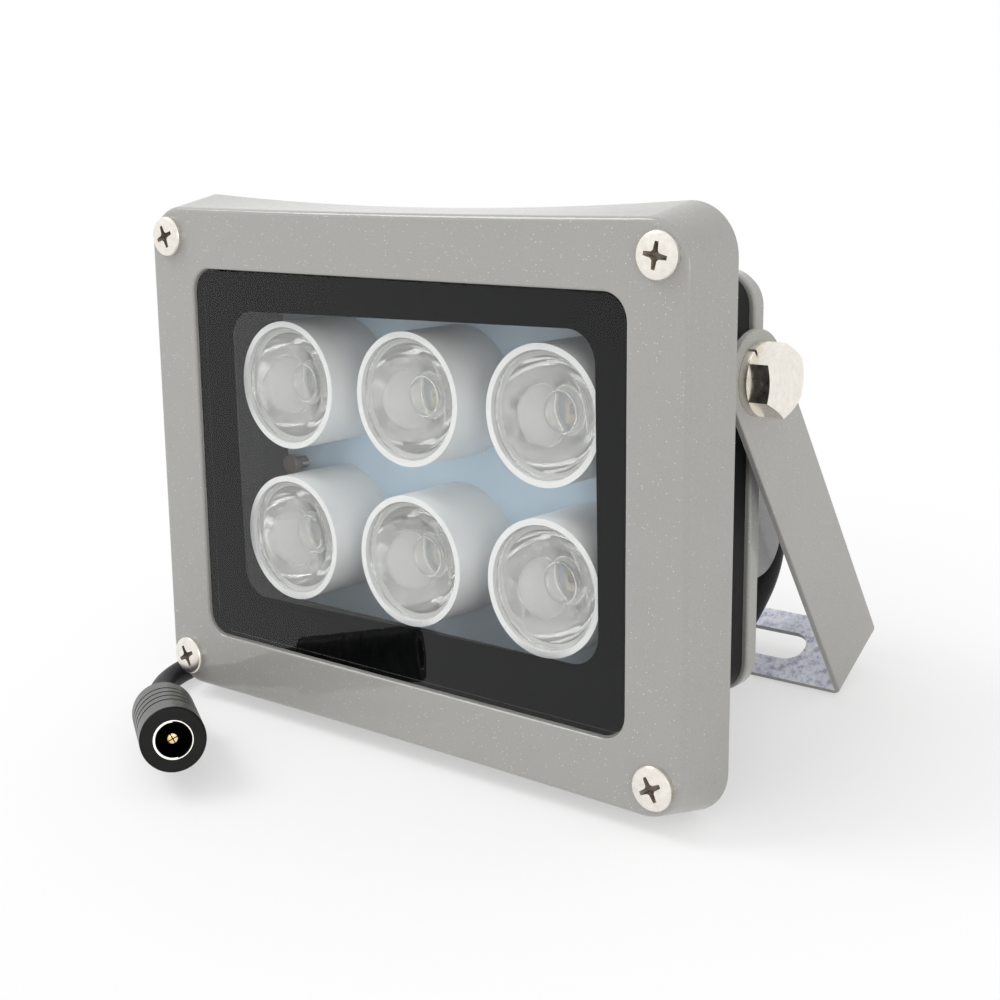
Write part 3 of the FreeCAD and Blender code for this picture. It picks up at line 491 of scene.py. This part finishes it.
class GlassSettings(bpy.types.PropertyGroup):
    window_w: bpy.props.FloatProperty(
        name="Window width", description="Clear width inside the printed border", subtype="DISTANCE",
        default=78.3 * MM)
    window_h: bpy.props.FloatProperty(
        name="Window height", description="Clear height inside the printed border", subtype="DISTANCE",
        default=50.7 * MM)
    window_r: bpy.props.FloatProperty(
        name="Window corner", description="Corner radius of the clear window", subtype="DISTANCE",
        default=5.0 * MM)
    window_x: bpy.props.FloatProperty(
        name="Window to the right", description="How far the print sits to the right", subtype="DISTANCE",
        default=0.45 * MM)
    window_z: bpy.props.FloatProperty(
        name="Window up", description="How far the print sits above the middle", subtype="DISTANCE",
        default=1.2 * MM)
    window_turn: bpy.props.FloatProperty(
        name="Window turn", description="How far the print is turned in its seat", subtype="ANGLE",
        default=math.radians(1.0))
    print_t: bpy.props.FloatProperty(
        name="Print depth", description="How deep the printed border lies in the glass", subtype="DISTANCE",
        default=0.05 * MM)
    ink: bpy.props.FloatVectorProperty(
        name="Ink", description="Printed border", subtype="COLOR", size=3, min=0, max=1,
        default=(0.003, 0.0035, 0.0033))


class OpticsSettings(bpy.types.PropertyGroup):
    rim: bpy.props.FloatProperty(
        name="Lens rim", description="Width of the flat rim round the lens's dish", subtype="DISTANCE",
        default=1.7 * MM)
    dish: bpy.props.FloatProperty(
        name="Dish depth", description="Depth of the lens's hollow front", subtype="DISTANCE",
        default=1.6 * MM)
    holder: bpy.props.FloatVectorProperty(
        name="Holder", description="White moulded lens holders", subtype="COLOR", size=3, min=0, max=1,
        default=(0.85, 0.85, 0.845))
    mask: bpy.props.FloatVectorProperty(
        name="Board", description="Pale blue-grey lamp board", subtype="COLOR", size=3, min=0, max=1,
        default=(0.60, 0.745, 0.87))
    phosphor: bpy.props.FloatVectorProperty(
        name="Phosphor", description="Yellowish face of the emitters", subtype="COLOR", size=3, min=0,
        max=1, default=(0.78, 0.66, 0.42))
    chip: bpy.props.FloatProperty(
        name="Chip", description="Width of the square chip in an emitter", subtype="DISTANCE",
        default=1.6 * MM)
    chip_tone: bpy.props.FloatVectorProperty(
        name="Chip tone", description="Pinkish brown chip", subtype="COLOR", size=3, min=0, max=1,
        default=(0.16, 0.09, 0.07))


class HardwareSettings(bpy.types.PropertyGroup):
    nickel: bpy.props.FloatVectorProperty(
        name="Nickel", description="Screws, bolts and washers", subtype="COLOR", size=3, min=0, max=1,
        default=(0.93, 0.885, 0.81))
    recess: bpy.props.FloatProperty(
        name="Cross recess", description="Reach of a cross recess as a share of the head's radius",
        min=0.3, max=0.8, default=0.58)
    recess_w: bpy.props.FloatProperty(
        name="Recess width", description="Half width of the cross as a share of the head's radius",
        min=0.05, max=0.3, default=0.125)
    # The recess shade is painted shade: a dark brown in the cross recesses, where shade falls.
    shade: bpy.props.FloatVectorProperty(
        name="Recess shade", description="Brownish residue in the cross recesses", subtype="COLOR", size=3,
        min=0, max=1, default=(0.17, 0.135, 0.105))


class CableSettings(bpy.types.PropertyGroup):
    diameter: bpy.props.FloatProperty(
        name="Cable diameter", description="Outer diameter of the cable", subtype="DISTANCE",
        default=4.2 * MM)
    sheath: bpy.props.FloatVectorProperty(
        name="Sheath", description="Black cable sheath", subtype="COLOR", size=3, min=0, max=1,
        default=(0.016, 0.016, 0.017))
    slot: bpy.props.FloatProperty(
        name="Pin slot", description="Width of the cross slot in the pin's tip", subtype="DISTANCE",
        default=0.20 * MM)
    tin: bpy.props.FloatVectorProperty(
        name="Ring", description="Tinned lip of the socket's sleeve", subtype="COLOR", size=3, min=0, max=1,
        default=(0.97, 0.93, 0.86))
    brass: bpy.props.FloatVectorProperty(
        name="Pin", description="Gold-coloured centre pin", subtype="COLOR", size=3, min=0, max=1,
        default=(0.96, 0.71, 0.36))


class StudioSettings(bpy.types.PropertyGroup):
    camera: bpy.props.FloatVectorProperty(
        name="Camera", description="Where the camera stands", subtype="TRANSLATION", size=3,
        default=(177.32 * MM, -207.545 * MM, 118.048 * MM))
    looking: bpy.props.FloatVectorProperty(
        name="Looking", description="Direction of the view", size=3, default=(-0.62821, 0.72202, -0.28988))
    upward: bpy.props.FloatVectorProperty(
        name="Upward", description="Direction that is up in the picture", size=3,
        default=(-0.12686, 0.27254, 0.95374))
    focal: bpy.props.FloatProperty(
        name="Focal length", description="Focal length in picture widths", default=1.6168)
    floor: bpy.props.FloatVectorProperty(
        name="Floor", description="Pale floor", subtype="COLOR", size=3, min=0, max=1,
        default=(0.92, 0.92, 0.92))
    ambient: bpy.props.FloatProperty(
        name="Ambient", description="Level of the soft light all round", default=0.80)
    overhead: bpy.props.FloatProperty(
        name="Overhead", description="Power of the lamp above on the left, in watts", default=2.6)
    beside: bpy.props.FloatProperty(
        name="Beside", description="Power of the low lamp on the right, in watts", default=0.9)
    clear_floor: bpy.props.FloatProperty(
        name="Clear floor", description="Distance from the middle at which the floor turns plain white",
        subtype="DISTANCE", default=0.15)


GROUPS = {
    "flood_housing": HousingSettings, "flood_glass": GlassSettings, "flood_optics": OpticsSettings,
    "flood_hardware": HardwareSettings, "flood_cable": CableSettings, "flood_studio": StudioSettings}


class LAMP_OT_housing(bpy.types.Operator):
    """Paint the castings and the bracket and finish the black frame and seals"""

    bl_idname = "lamp.housing"
    bl_label = "Housing and bracket"

    def execute(self, context):
        look = context.scene.flood_housing
        # The bezel gets painted shade on its walls behind the glass; the rear housing does not.
        for node, painted_shade_inside in (("bezel", True), ("rear_housing", False)):
            paint = powder_paint("grey_%s_paint" % node, look.paint, look.fleck, painted_shade_inside)
            dress([node], paint)
        dress(["bracket"], self.strip_finish(look))
        black = moulding("black_moulding", look.black, 0.42, 0.8 * MM, 0.03 * MM, specular=0.07)
        dress(["middle_frame", "gland_body", "gland_nut"], black)
        rubber = moulding("black_rubber", look.black, 0.75, 0.4 * MM, 0.03 * MM, specular=0.1)
        dress(["glass_seal", "body_gasket", "rear_seal"], rubber)
        return {"FINISHED"}

    def strip_finish(self, look):
        # The bracket's own axes start at its pivot, with z along its arms. The hole in its base gives
        # their turn and the thickness of the strip.
        pivot = Vector(frame["joints"][0]["pos_m"])
        base = mount("base_hole")
        down = Vector(base["axis"])
        to_arm = Matrix.Rotation(-math.atan2(down.y, -down.z), 4, "X") @ Matrix.Translation(-pivot)
        low, high = lamp_box("bracket", to_arm)
        margin = 0.02 * MM
        strip = base["dims"]["length_mm"] * MM - margin
        return two_sided_strip(look, to_arm, inner_x=high.x - strip, inner_z=low.z + strip)


class LAMP_OT_glass(bpy.types.Operator):
    """Clear the glass panel and lay the black printed border in its back"""

    bl_idname = "lamp.glass"
    bl_label = "Glass and border"

    def execute(self, context):
        look = context.scene.flood_glass
        dress(["glass_panel"], clear("clear_pane", (0.985, 0.995, 0.99), 1.37, rough=0.0))
        margin = 0.1 * MM
        outer_r = 3.6 * MM
        film = 0.02 * MM
        half = (GLASS[1] - GLASS[0]) / 2
        level = GLASS[1].y - look.print_t
        bm = bmesh.new()
        outer = rounded_face(bm, half.x - margin, half.z - margin, outer_r, level)
        inner = rounded_face(bm, look.window_w / 2, look.window_h / 2, look.window_r, level)
        shift = Matrix.Translation((look.window_x, 0, look.window_z))
        turn = Matrix.Rotation(-look.window_turn, 4, "Y")
        bmesh.ops.transform(bm, matrix=shift @ turn, verts=list(inner.verts))
        edges = list(outer.edges) + list(inner.edges)
        bmesh.ops.delete(bm, geom=[outer, inner], context="FACES_ONLY")
        bmesh.ops.bridge_loops(bm, edges=edges)
        bmesh.ops.recalc_face_normals(bm, faces=bm.faces)
        bmesh.ops.solidify(bm, geom=list(bm.faces), thickness=film)
        ink = moulding("border_ink", look.ink, 0.5, 0.3 * MM, depth=0.0, specular=0.0)
        finish_piece(bm, "glass_border", ink, smooth=30)
        return {"FINISHED"}


class LAMP_OT_optics(bpy.types.Operator):
    """Make the six clear lenses and finish their holders, emitters and board"""

    bl_idname = "lamp.optics"
    bl_label = "Lenses, emitters and board"

    def execute(self, context):
        look = context.scene.flood_optics
        acrylic = clear("clear_acrylic", (1.0, 0.995, 0.98), 1.49, rough=0.04, coat=0.8, through=0.86)
        for n in NUMBERS:
            self.lens(n, look, acrylic)
            dress(["lens_holder_%d" % n], self.holder_finish(n, look))
            dress(["led_emitter_%d" % n], self.emitter_finish(n, look))
        dress(["led_board"], self.board_finish(look))
        return {"FINISHED"}

    def lens(self, n, look, acrylic):
        # Dished front, flat rim and flange, a bellied side and a hollow with a domed end at the back.
        low, high = lamp_box("lens_%d" % n)
        radius = (high.x - low.x) / 2
        front = low.y
        back = high.y
        centre = middle_of((low, high))
        dish_r = radius - look.rim
        rim = front + 0.03 * MM
        blend = 0.25 * MM
        edge = 0.15 * MM
        edge_depth = 0.2 * MM
        flange = front + 1.4 * MM
        neck = radius - 0.9 * MM
        tail = 4.7 * MM
        belly = 0.9 * MM
        hollow = 3.9 * MM
        hollow_end = back - 4.5 * MM
        narrowing = 0.03
        dome = 0.9 * MM
        profile = [(0.0, front + look.dish)]
        for k in range(1, 13):
            a = k / 12
            profile.append((dish_r * a, front + look.dish * (1 - a ** 2.2)))
        profile += [(dish_r + blend, rim), (radius - edge, rim), (radius, front + edge_depth),
                    (radius, flange), (neck, flange)]
        for k in range(1, 17):
            a = k / 16
            swell = math.sin(math.pi * a) * belly
            profile.append((neck + (tail - neck) * a + swell, flange + (back - flange) * a))
        profile += [(hollow, back)]
        for k in range(1, 7):
            a = k / 6
            profile.append((hollow * (1 - narrowing * a), back + (hollow_end - back) * a))
        for k in range(1, 9):
            a = k / 8 * math.pi / 2
            profile.append((hollow * (1 - narrowing) * math.cos(a), hollow_end + dome * math.sin(a)))
        bm = bmesh.new()
        spun(bm, profile, along((0, 1, 0), (centre.x, 0, centre.z)), 64)
        lens = finish_piece(bm, "clear_lens_%d" % n, acrylic, smooth=35)
        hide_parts("lens_%d" % n)

    def holder_finish(self, n, look):
        # White moulding with painted light in the bore that holds the lens: a brighter white there.
        mat, tree, shader = new_material("white_holder_%d" % n)
        low, high = lamp_box("lens_%d" % n)
        bore = (high.x - low.x) / 2 + 0.05 * MM
        at = place(tree, Matrix.Translation(-middle_of((low, high))) @ TO_LAMP)
        where = axes(tree, at)
        inside = maths(tree, "LESS_THAN", squared_radius(tree, where["X"], where["Z"]), bore * bore)
        dark = [c * 0.985 for c in look.holder]
        tone = ramp(tree, noise(tree, at, 4.0 * MM), [(0.3, dark), (0.7, look.holder)])
        # Painted light: the bore is a brighter white than the outside, standing in for light in the tube round the
        # lens.
        tree.links.new(mixed(tree, inside, tone, (0.98, 0.975, 0.965)), shader.inputs["Base Color"])
        settings(shader, rough=0.32)
        return mat

    def emitter_finish(self, n, look):
        # Yellowish silicone, a little uneven, over a darker square chip on the axis.
        mat, tree, shader = new_material("emitter_dome_%d" % n)
        centre = middle_of(lamp_box("led_emitter_%d" % n))
        at = place(tree, Matrix.Translation(-centre) @ TO_LAMP)
        dark = [c * 0.92 for c in look.phosphor]
        tone = ramp(tree, noise(tree, at, 0.6 * MM), [(0.3, dark), (0.7, look.phosphor)])
        where = axes(tree, at)
        farther = maths(tree, "MAXIMUM", size_of(tree, where["X"]), size_of(tree, where["Z"]))
        chip = maths(tree, "LESS_THAN", farther, look.chip / 2)
        tree.links.new(mixed(tree, chip, tone, look.chip_tone), shader.inputs["Base Color"])
        settings(shader, rough=0.22, coat=0.6, coat_rough=0.05)
        return mat

    def board_finish(self, look):
        # Pale solder mask, a little uneven.
        mat, tree, shader = new_material("board_mask")
        at = place(tree)
        dark = [c * 0.96 for c in look.mask]
        light = [c * 1.03 for c in look.mask]
        tone = ramp(tree, noise(tree, at, 10.0 * MM), [(0.3, dark), (0.7, light)])
        tree.links.new(tone, shader.inputs["Base Color"])
        settings(shader, rough=0.35, coat=0.2, coat_rough=0.2)
        bump(tree, shader, noise(tree, at, 0.9 * MM), 0.01 * MM, 0.3)
        return mat


class LAMP_OT_hardware(bpy.types.Operator):
    """Make the cross-recessed screws and finish the bolts and washers"""

    bl_idname = "lamp.hardware"
    bl_label = "Screws and bolts"

    def execute(self, context):
        look = context.scene.flood_hardware
        nickel = plain_metal("nickel_plate", look.nickel, 0.32)
        dress(["pivot_bolts", "spring_washers", "flat_washers"], nickel)
        dress(["board_screws", "driver_screws"], nickel)
        front_turns = {(-1, 1): 22, (1, 1): -9, (1, -1): 29, (-1, -1): 28}
        rear_turns = {(-1, 1): 5, (1, 1): 40, (1, -1): -20, (-1, -1): 60}
        # Painted shade: the cut faces of the recesses take a dark brown.
        recess_shade = moulding("recess_painted_shade", look.shade, 0.35, 0.3 * MM, 0.01 * MM, 0.6, clouding=0.4)
        for node, name, out, turns, height in (
                ("bezel_screws", "cross_screw", -1, front_turns, 1.3 * MM),
                ("rear_screws", "rear_cross_screw", 1, rear_turns, 1.8 * MM)):
            piece, cutter = self.screws(node, name, out, turns, height, look, nickel)
            carve(piece, cutter, recess_shade, smooth=28)
            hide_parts(node)
        return {"FINISHED"}

    def screws(self, node, name, out, turns, height, look, nickel):
        # One piece per node: flat round heads with plain shanks, and the cutter of their recesses.
        point = 0.3 * MM
        bm = bmesh.new()
        cutter = bmesh.new()
        for low, high in separate_boxes(node):
            centre = middle_of((low, high))
            turn = turns[(int(math.copysign(1, centre.x)), int(math.copysign(1, centre.z)))]
            head_r = (high.x - low.x) / 2
            top = low.y if out < 0 else high.y
            length = high.y - low.y
            shank = head_r * 0.49
            profile = [(0.0, 0.0), (head_r * 0.5, -0.012 * height), (head_r * 0.86, -0.10 * height),
                       (head_r * 0.96, -0.22 * height), (head_r, -0.42 * height),
                       (head_r * 0.99, -height), (shank, -height), (shank, -length + point),
                       (shank * 0.8, -length), (0.0, -length)]
            axis = along((0, out, 0), (centre.x, top, centre.z))
            spun(bm, profile, axis, 48)
            spin = axis @ Matrix.Rotation(math.radians(turn), 4, "Z")
            cross_cutter(cutter, head_r * look.recess, head_r * look.recess_w, height * 0.8, spin)
        bmesh.ops.transform(cutter, matrix=FROM_LAMP, verts=cutter.verts)
        return finish_piece(bm, name, nickel, smooth=28), cutter


class LAMP_OT_inside(bpy.types.Operator):
    """Make the light sensor and finish the wires and the driver board inside the housing"""

    bl_idname = "lamp.inside"
    bl_label = "Sensor, wires and driver"

    def execute(self, context):
        self.sensor()
        tin = plain_metal("tinned_wire", (0.80, 0.79, 0.77), 0.25)
        dress(["sensor_leads"], tin)
        dress(["driver_board"], moulding("green_mask", (0.02, 0.14, 0.05), 0.35))
        dress(["driver_chip"], moulding("chip_resin", (0.02, 0.02, 0.02), 0.5))
        dress(["driver_choke"], moulding("grey_ferrite", (0.07, 0.07, 0.075), 0.7))
        dress(["driver_capacitor"], plain_metal("sleeved_can", (0.25, 0.27, 0.42), 0.4))
        red = moulding("red_insulation", (0.45, 0.03, 0.02), 0.4)
        dress(["lamp_wires", "feed_wires"], red)
        return {"FINISHED"}

    def sensor(self):
        # Small collared cell on a stem that stands on the board.
        low, high = lamp_box("light_sensor")
        centre = middle_of((low, high))
        collar = (high.x - low.x) * 0.37
        stem = collar * 0.62
        reach = BOARD[0].y - low.y
        profile = [(0.0, 0.0), (collar * 0.9, 0.0), (collar, -0.2 * MM), (collar, -0.8 * MM),
                   (stem, -0.9 * MM), (stem, -reach), (0.0, -reach)]
        bm = bmesh.new()
        spun(bm, profile, along((0, -1, 0), (centre.x, low.y, centre.z)), 32)
        brown = moulding("sensor_ceramic", (0.17, 0.135, 0.11), 0.4)
        cell = finish_piece(bm, "collared_sensor", brown, smooth=35)
        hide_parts("light_sensor")


class LAMP_OT_cable(bpy.types.Operator):
    """Lay the cable along its route and finish the round power socket"""

    bl_idname = "lamp.cable"
    bl_label = "Cable and socket"

    def execute(self, context):
        look = context.scene.flood_cable
        black = context.scene.flood_housing.black
        face = Vector(mount("power_socket")["pos_m"])
        back = -Vector(mount("power_socket")["axis"])
        self.socket(look, black, along(back, face).inverted())
        route = self.route(face, back)
        cable = self.line(look, route)
        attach(cable, HEAD)
        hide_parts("cable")
        return {"FINISHED"}

    def line(self, look, route):
        # The cable as a smooth line drawn to the points of its route.
        curve = bpy.data.curves.new("cable_line", "CURVE")
        curve.dimensions = "3D"
        curve.resolution_u = 12
        curve.bevel_depth = look.diameter / 2
        curve.bevel_resolution = 6
        spline = curve.splines.new("NURBS")
        spline.points.add(len(route) - 1)
        for point, spot in zip(spline.points, route):
            point.co = (*spot, 1.0)
        spline.order_u = 3
        spline.use_endpoint_u = True
        curve.use_fill_caps = True
        cable = bpy.data.objects.new("cable_line", curve)
        bpy.context.scene.collection.objects.link(cable)
        sheath = moulding("cable_sheath", look.sheath, 0.42, 0.9 * MM, 0.02 * MM, specular=0.2)
        curve.materials.append(sheath)
        return cable

    def socket(self, look, black, matrix):
        # The matrix turns the frame into the socket's axes: zero at its face, z back along it.
        dress(["jack_body"], self.sheen_painted_moulding(black, matrix))
        deep = moulding("socket_inside", [c * 0.3 for c in black], 0.6, specular=0.05)
        dress(["jack_insulator"], deep)
        dress(["jack_sleeve"], self.ring_finish(look, matrix))
        dress(["jack_pin"], self.pin_finish(look, matrix))

    def sheen_painted_moulding(self, black, matrix):
        # Matt black face; the sides are glossier and carry a painted sheen, a lighter grey in uneven rings.
        mat, tree, shader = new_material("socket_moulding")
        where = axes(tree, place(tree, matrix))
        side = maths(tree, "GREATER_THAN", where["Z"], 0.55 * MM)
        bands = tree.nodes.new("ShaderNodeCombineXYZ")
        for axis, share in (("X", 0.25), ("Y", 0.25), ("Z", 1.0)):
            tree.links.new(maths(tree, "MULTIPLY", where[axis], share), bands.inputs[axis])
        ring_noise = noise(tree, bands.outputs["Vector"], 1.1 * MM, 3.0, 0.6)
        # Painted sheen: the lighter grey on the sides stands in for the reflection on their gloss.
        wear_and_sheen = ramp(tree, ring_noise, [(0.40, black), (0.66, [c * 9 for c in black])])
        tree.links.new(mixed(tree, side, black, wear_and_sheen), shader.inputs["Base Color"])
        satin = ramp(tree, ring_noise, [(0.35, 0.30), (0.65, 0.48)])
        tree.links.new(satin, shader.inputs["Roughness"])
        tree.links.new(maths(tree, "MULTIPLY", side, 0.35), shader.inputs["Coat Weight"])
        settings(shader, specular=0.12, coat_rough=0.3)
        bump(tree, shader, ring_noise, 0.15 * MM, 0.7)
        return mat

    def ring_finish(self, look, matrix):
        # Tinned lip, thicker on one half, over a dark inner wall.
        mat, tree, shader = new_material("tinned_sleeve")
        at = place(tree, matrix)
        where = axes(tree, at)
        middle_r = 3.08 * MM
        outer = maths(tree, "GREATER_THAN", squared_radius(tree, where["X"], where["Y"]), middle_r ** 2)
        half = maths(tree, "GREATER_THAN", where["X"], -0.3 * MM)
        lip = maths(tree, "LESS_THAN", where["Z"], 0.2 * MM)
        bright = maths(tree, "MULTIPLY", lip, maths(tree, "MAXIMUM", outer, half))
        dull = [c * 0.8 for c in look.tin]
        cloud = ramp(tree, noise(tree, at, 0.9 * MM, 3.0), [(0.3, dull), (0.7, look.tin)])
        tree.links.new(mixed(tree, bright, (0.004, 0.004, 0.004), cloud), shader.inputs["Base Color"])
        tree.links.new(bright, shader.inputs["Metallic"])
        settings(shader, rough=0.25, specular=0.05)
        return mat

    def pin_finish(self, look, matrix):
        # Gold-coloured pin; its cross slot is painted shade, a dark cross in its tip.
        mat, tree, shader = new_material("gold_pin")
        at = place(tree, Matrix.Rotation(math.radians(20), 4, "Z") @ matrix)
        where = axes(tree, at)
        nearer = maths(tree, "MINIMUM", size_of(tree, where["X"]), size_of(tree, where["Y"]))
        slot = maths(tree, "LESS_THAN", nearer, look.slot / 2)
        wear_and_sheen = [c * 0.8 for c in look.brass]
        tone = ramp(tree, noise(tree, at, 0.5 * MM, 3.0), [(0.35, wear_and_sheen), (0.65, look.brass)])
        # Painted shade: the slot is no cut, only a dark cross in the colour.
        tree.links.new(mixed(tree, slot, tone, (0.06, 0.035, 0.02)), shader.inputs["Base Color"])
        settings(shader, metal=1.0, rough=0.18)
        return mat

    def route(self, face, back):
        # The same points as the cable's own solid, from the gland to the socket. The chosen ones
        # between are in millimetres.
        nut = lamp_box("gland_nut")
        tip = FROM_LAMP @ Vector((middle_of(nut).x, nut[1].y, middle_of(nut).z))
        away = (FROM_LAMP.to_3x3() @ Vector((0, 1, 0))).normalized()
        straight = 12.0 * MM
        socket_length = 33.0 * MM
        straight_in = 7.2 * MM
        end = face + back * socket_length
        chosen = [
            (31.5, 36.0, 29.3), (31.5, 34.3, 17.2), (31.2, 25.1, 9.5), (29.0, 14.8, 2.6),
            (19.5, 5.0, 2.2), (3.0, -3.0, 2.2), (-17.0, -7.0, 2.2), (-36.0, -8.2, 2.2),
            (-50.0, -11.5, 2.2), (-58.9, -20.5, 2.2), (-59.6, -33.5, 2.2)]
        between = [Vector(point) * MM for point in chosen]
        return [tip, tip + away * straight] + between + [end + back * straight_in, end]


class LAMP_OT_studio(bpy.types.Operator):
    """Lay the pale floor, light the studio softly and set the camera"""

    bl_idname = "lamp.studio"
    bl_label = "Floor, lamps and camera"

    def execute(self, context):
        look = context.scene.flood_studio
        self.floor(look)
        self.world(look)
        self.lamp("overhead_lamp", at=(-0.50, -0.26, 0.72), size=0.36, power=look.overhead)
        self.lamp("side_lamp", at=(0.62, -0.44, 0.22), size=0.30, power=look.beside)
        self.camera(look)
        context.scene.view_settings.view_transform = "Standard"
        return {"FINISHED"}

    def floor(self, look):
        # Pale floor that keeps the shadow near the light and fades to plain white further off.
        fade_start = look.clear_floor / 4
        least_white = 0.45
        bm = bmesh.new()
        bmesh.ops.create_grid(bm, x_segments=1, y_segments=1, size=3.0)
        mesh = bpy.data.meshes.new("studio_floor")
        bm.to_mesh(mesh)
        bm.free()
        floor = bpy.data.objects.new("studio_floor", mesh)
        bpy.context.scene.collection.objects.link(floor)
        mat, tree, shader = new_material("pale_floor")
        settings(shader, colour=look.floor, rough=0.8, specular=0.1)
        length = tree.nodes.new("ShaderNodeVectorMath")
        length.operation = "LENGTH"
        coords = tree.nodes.new("ShaderNodeTexCoord")
        tree.links.new(coords.outputs["Object"], length.inputs[0])
        fade = tree.nodes.new("ShaderNodeMapRange")
        fade.interpolation_type = "SMOOTHSTEP"
        fade.inputs["From Min"].default_value = fade_start
        fade.inputs["From Max"].default_value = look.clear_floor
        fade.inputs["To Min"].default_value = least_white
        tree.links.new(length.outputs["Value"], fade.inputs["Value"])
        plain = tree.nodes.new("ShaderNodeEmission")
        plain.inputs["Color"].default_value = (1.0, 1.0, 1.0, 1.0)
        mix = tree.nodes.new("ShaderNodeMixShader")
        shown = maths(tree, "MULTIPLY", fade.outputs["Result"], seen_by_eye(tree))
        tree.links.new(shown, mix.inputs["Fac"])
        tree.links.new(shader.outputs["BSDF"], mix.inputs[1])
        tree.links.new(plain.outputs["Emission"], mix.inputs[2])
        out = next(n for n in tree.nodes if n.type == "OUTPUT_MATERIAL")
        tree.links.new(mix.outputs["Shader"], out.inputs["Surface"])
        mesh.materials.append(mat)

    def world(self, look):
        # Soft light all round, and plain white where it is seen, mirrored or looked at through glass.
        world = bpy.data.worlds.new("studio")
        bpy.context.scene.world = world
        world.use_nodes = True
        tree = world.node_tree
        tree.nodes.clear()
        out = tree.nodes.new("ShaderNodeOutputWorld")
        soft = tree.nodes.new("ShaderNodeBackground")
        soft.inputs["Color"].default_value = (1.0, 1.0, 1.0, 1.0)
        soft.inputs["Strength"].default_value = look.ambient
        white = tree.nodes.new("ShaderNodeBackground")
        white.inputs["Color"].default_value = (1.0, 1.0, 1.0, 1.0)
        white.inputs["Strength"].default_value = 1.0
        mix = tree.nodes.new("ShaderNodeMixShader")
        tree.links.new(seen_by_eye(tree), mix.inputs["Fac"])
        tree.links.new(soft.outputs["Background"], mix.inputs[1])
        tree.links.new(white.outputs["Background"], mix.inputs[2])
        tree.links.new(mix.outputs["Shader"], out.inputs["Surface"])

    def lamp(self, name, at, size, power):
        # Square lamp aimed at the middle of the flood light.
        data = bpy.data.lights.new(name, "AREA")
        data.shape = "SQUARE"
        data.size = size
        data.energy = power
        lamp = bpy.data.objects.new(name, data)
        lamp.location = at
        middle = Vector((0, 0, 0.04))
        lamp.rotation_euler = (middle - Vector(at)).to_track_quat("-Z", "Y").to_euler()
        bpy.context.scene.collection.objects.link(lamp)

    def camera(self, look):
        data = bpy.data.cameras.new("camera")
        data.sensor_width = 36.0
        data.lens = look.focal * data.sensor_width
        data.clip_start = 0.01
        camera = bpy.data.objects.new("camera", data)
        ahead = Vector(look.looking).normalized()
        side = ahead.cross(Vector(look.upward)).normalized()
        top = side.cross(ahead)
        turn = Matrix((side, top, -ahead)).transposed().to_4x4()
        camera.matrix_world = Matrix.Translation(look.camera) @ turn
        bpy.context.scene.collection.objects.link(camera)
        bpy.context.scene.camera = camera


OPERATORS = [
    LAMP_OT_housing, LAMP_OT_glass, LAMP_OT_optics, LAMP_OT_hardware, LAMP_OT_inside, LAMP_OT_cable,
    LAMP_OT_studio]


class LAMP_PT_panel(bpy.types.Panel):
    """Lists the pieces of the flood light"""

    bl_idname = "LAMP_PT_panel"
    bl_label = "Flood Light"
    bl_space_type = "VIEW_3D"
    bl_region_type = "UI"
    bl_category = "Flood Light"

    def draw(self, context):
        for operator in OPERATORS:
            self.layout.operator(operator.bl_idname)


def register():
    for name, group in GROUPS.items():
        bpy.utils.register_class(group)
        setattr(bpy.types.Scene, name, bpy.props.PointerProperty(type=group))
    for operator in OPERATORS:
        bpy.utils.register_class(operator)
    bpy.utils.register_class(LAMP_PT_panel)


def unregister():
    bpy.utils.unregister_class(LAMP_PT_panel)
    for operator in reversed(OPERATORS):
        bpy.utils.unregister_class(operator)
    for name, group in GROUPS.items():
        delattr(bpy.types.Scene, name)
        bpy.utils.unregister_class(group)


def main():
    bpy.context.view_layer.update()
    register()
    bpy.ops.lamp.housing()
    bpy.ops.lamp.glass()
    bpy.ops.lamp.optics()
    bpy.ops.lamp.hardware()
    bpy.ops.lamp.inside()
    bpy.ops.lamp.cable()
    bpy.ops.lamp.studio()


if __name__ == "__main__":
    main()
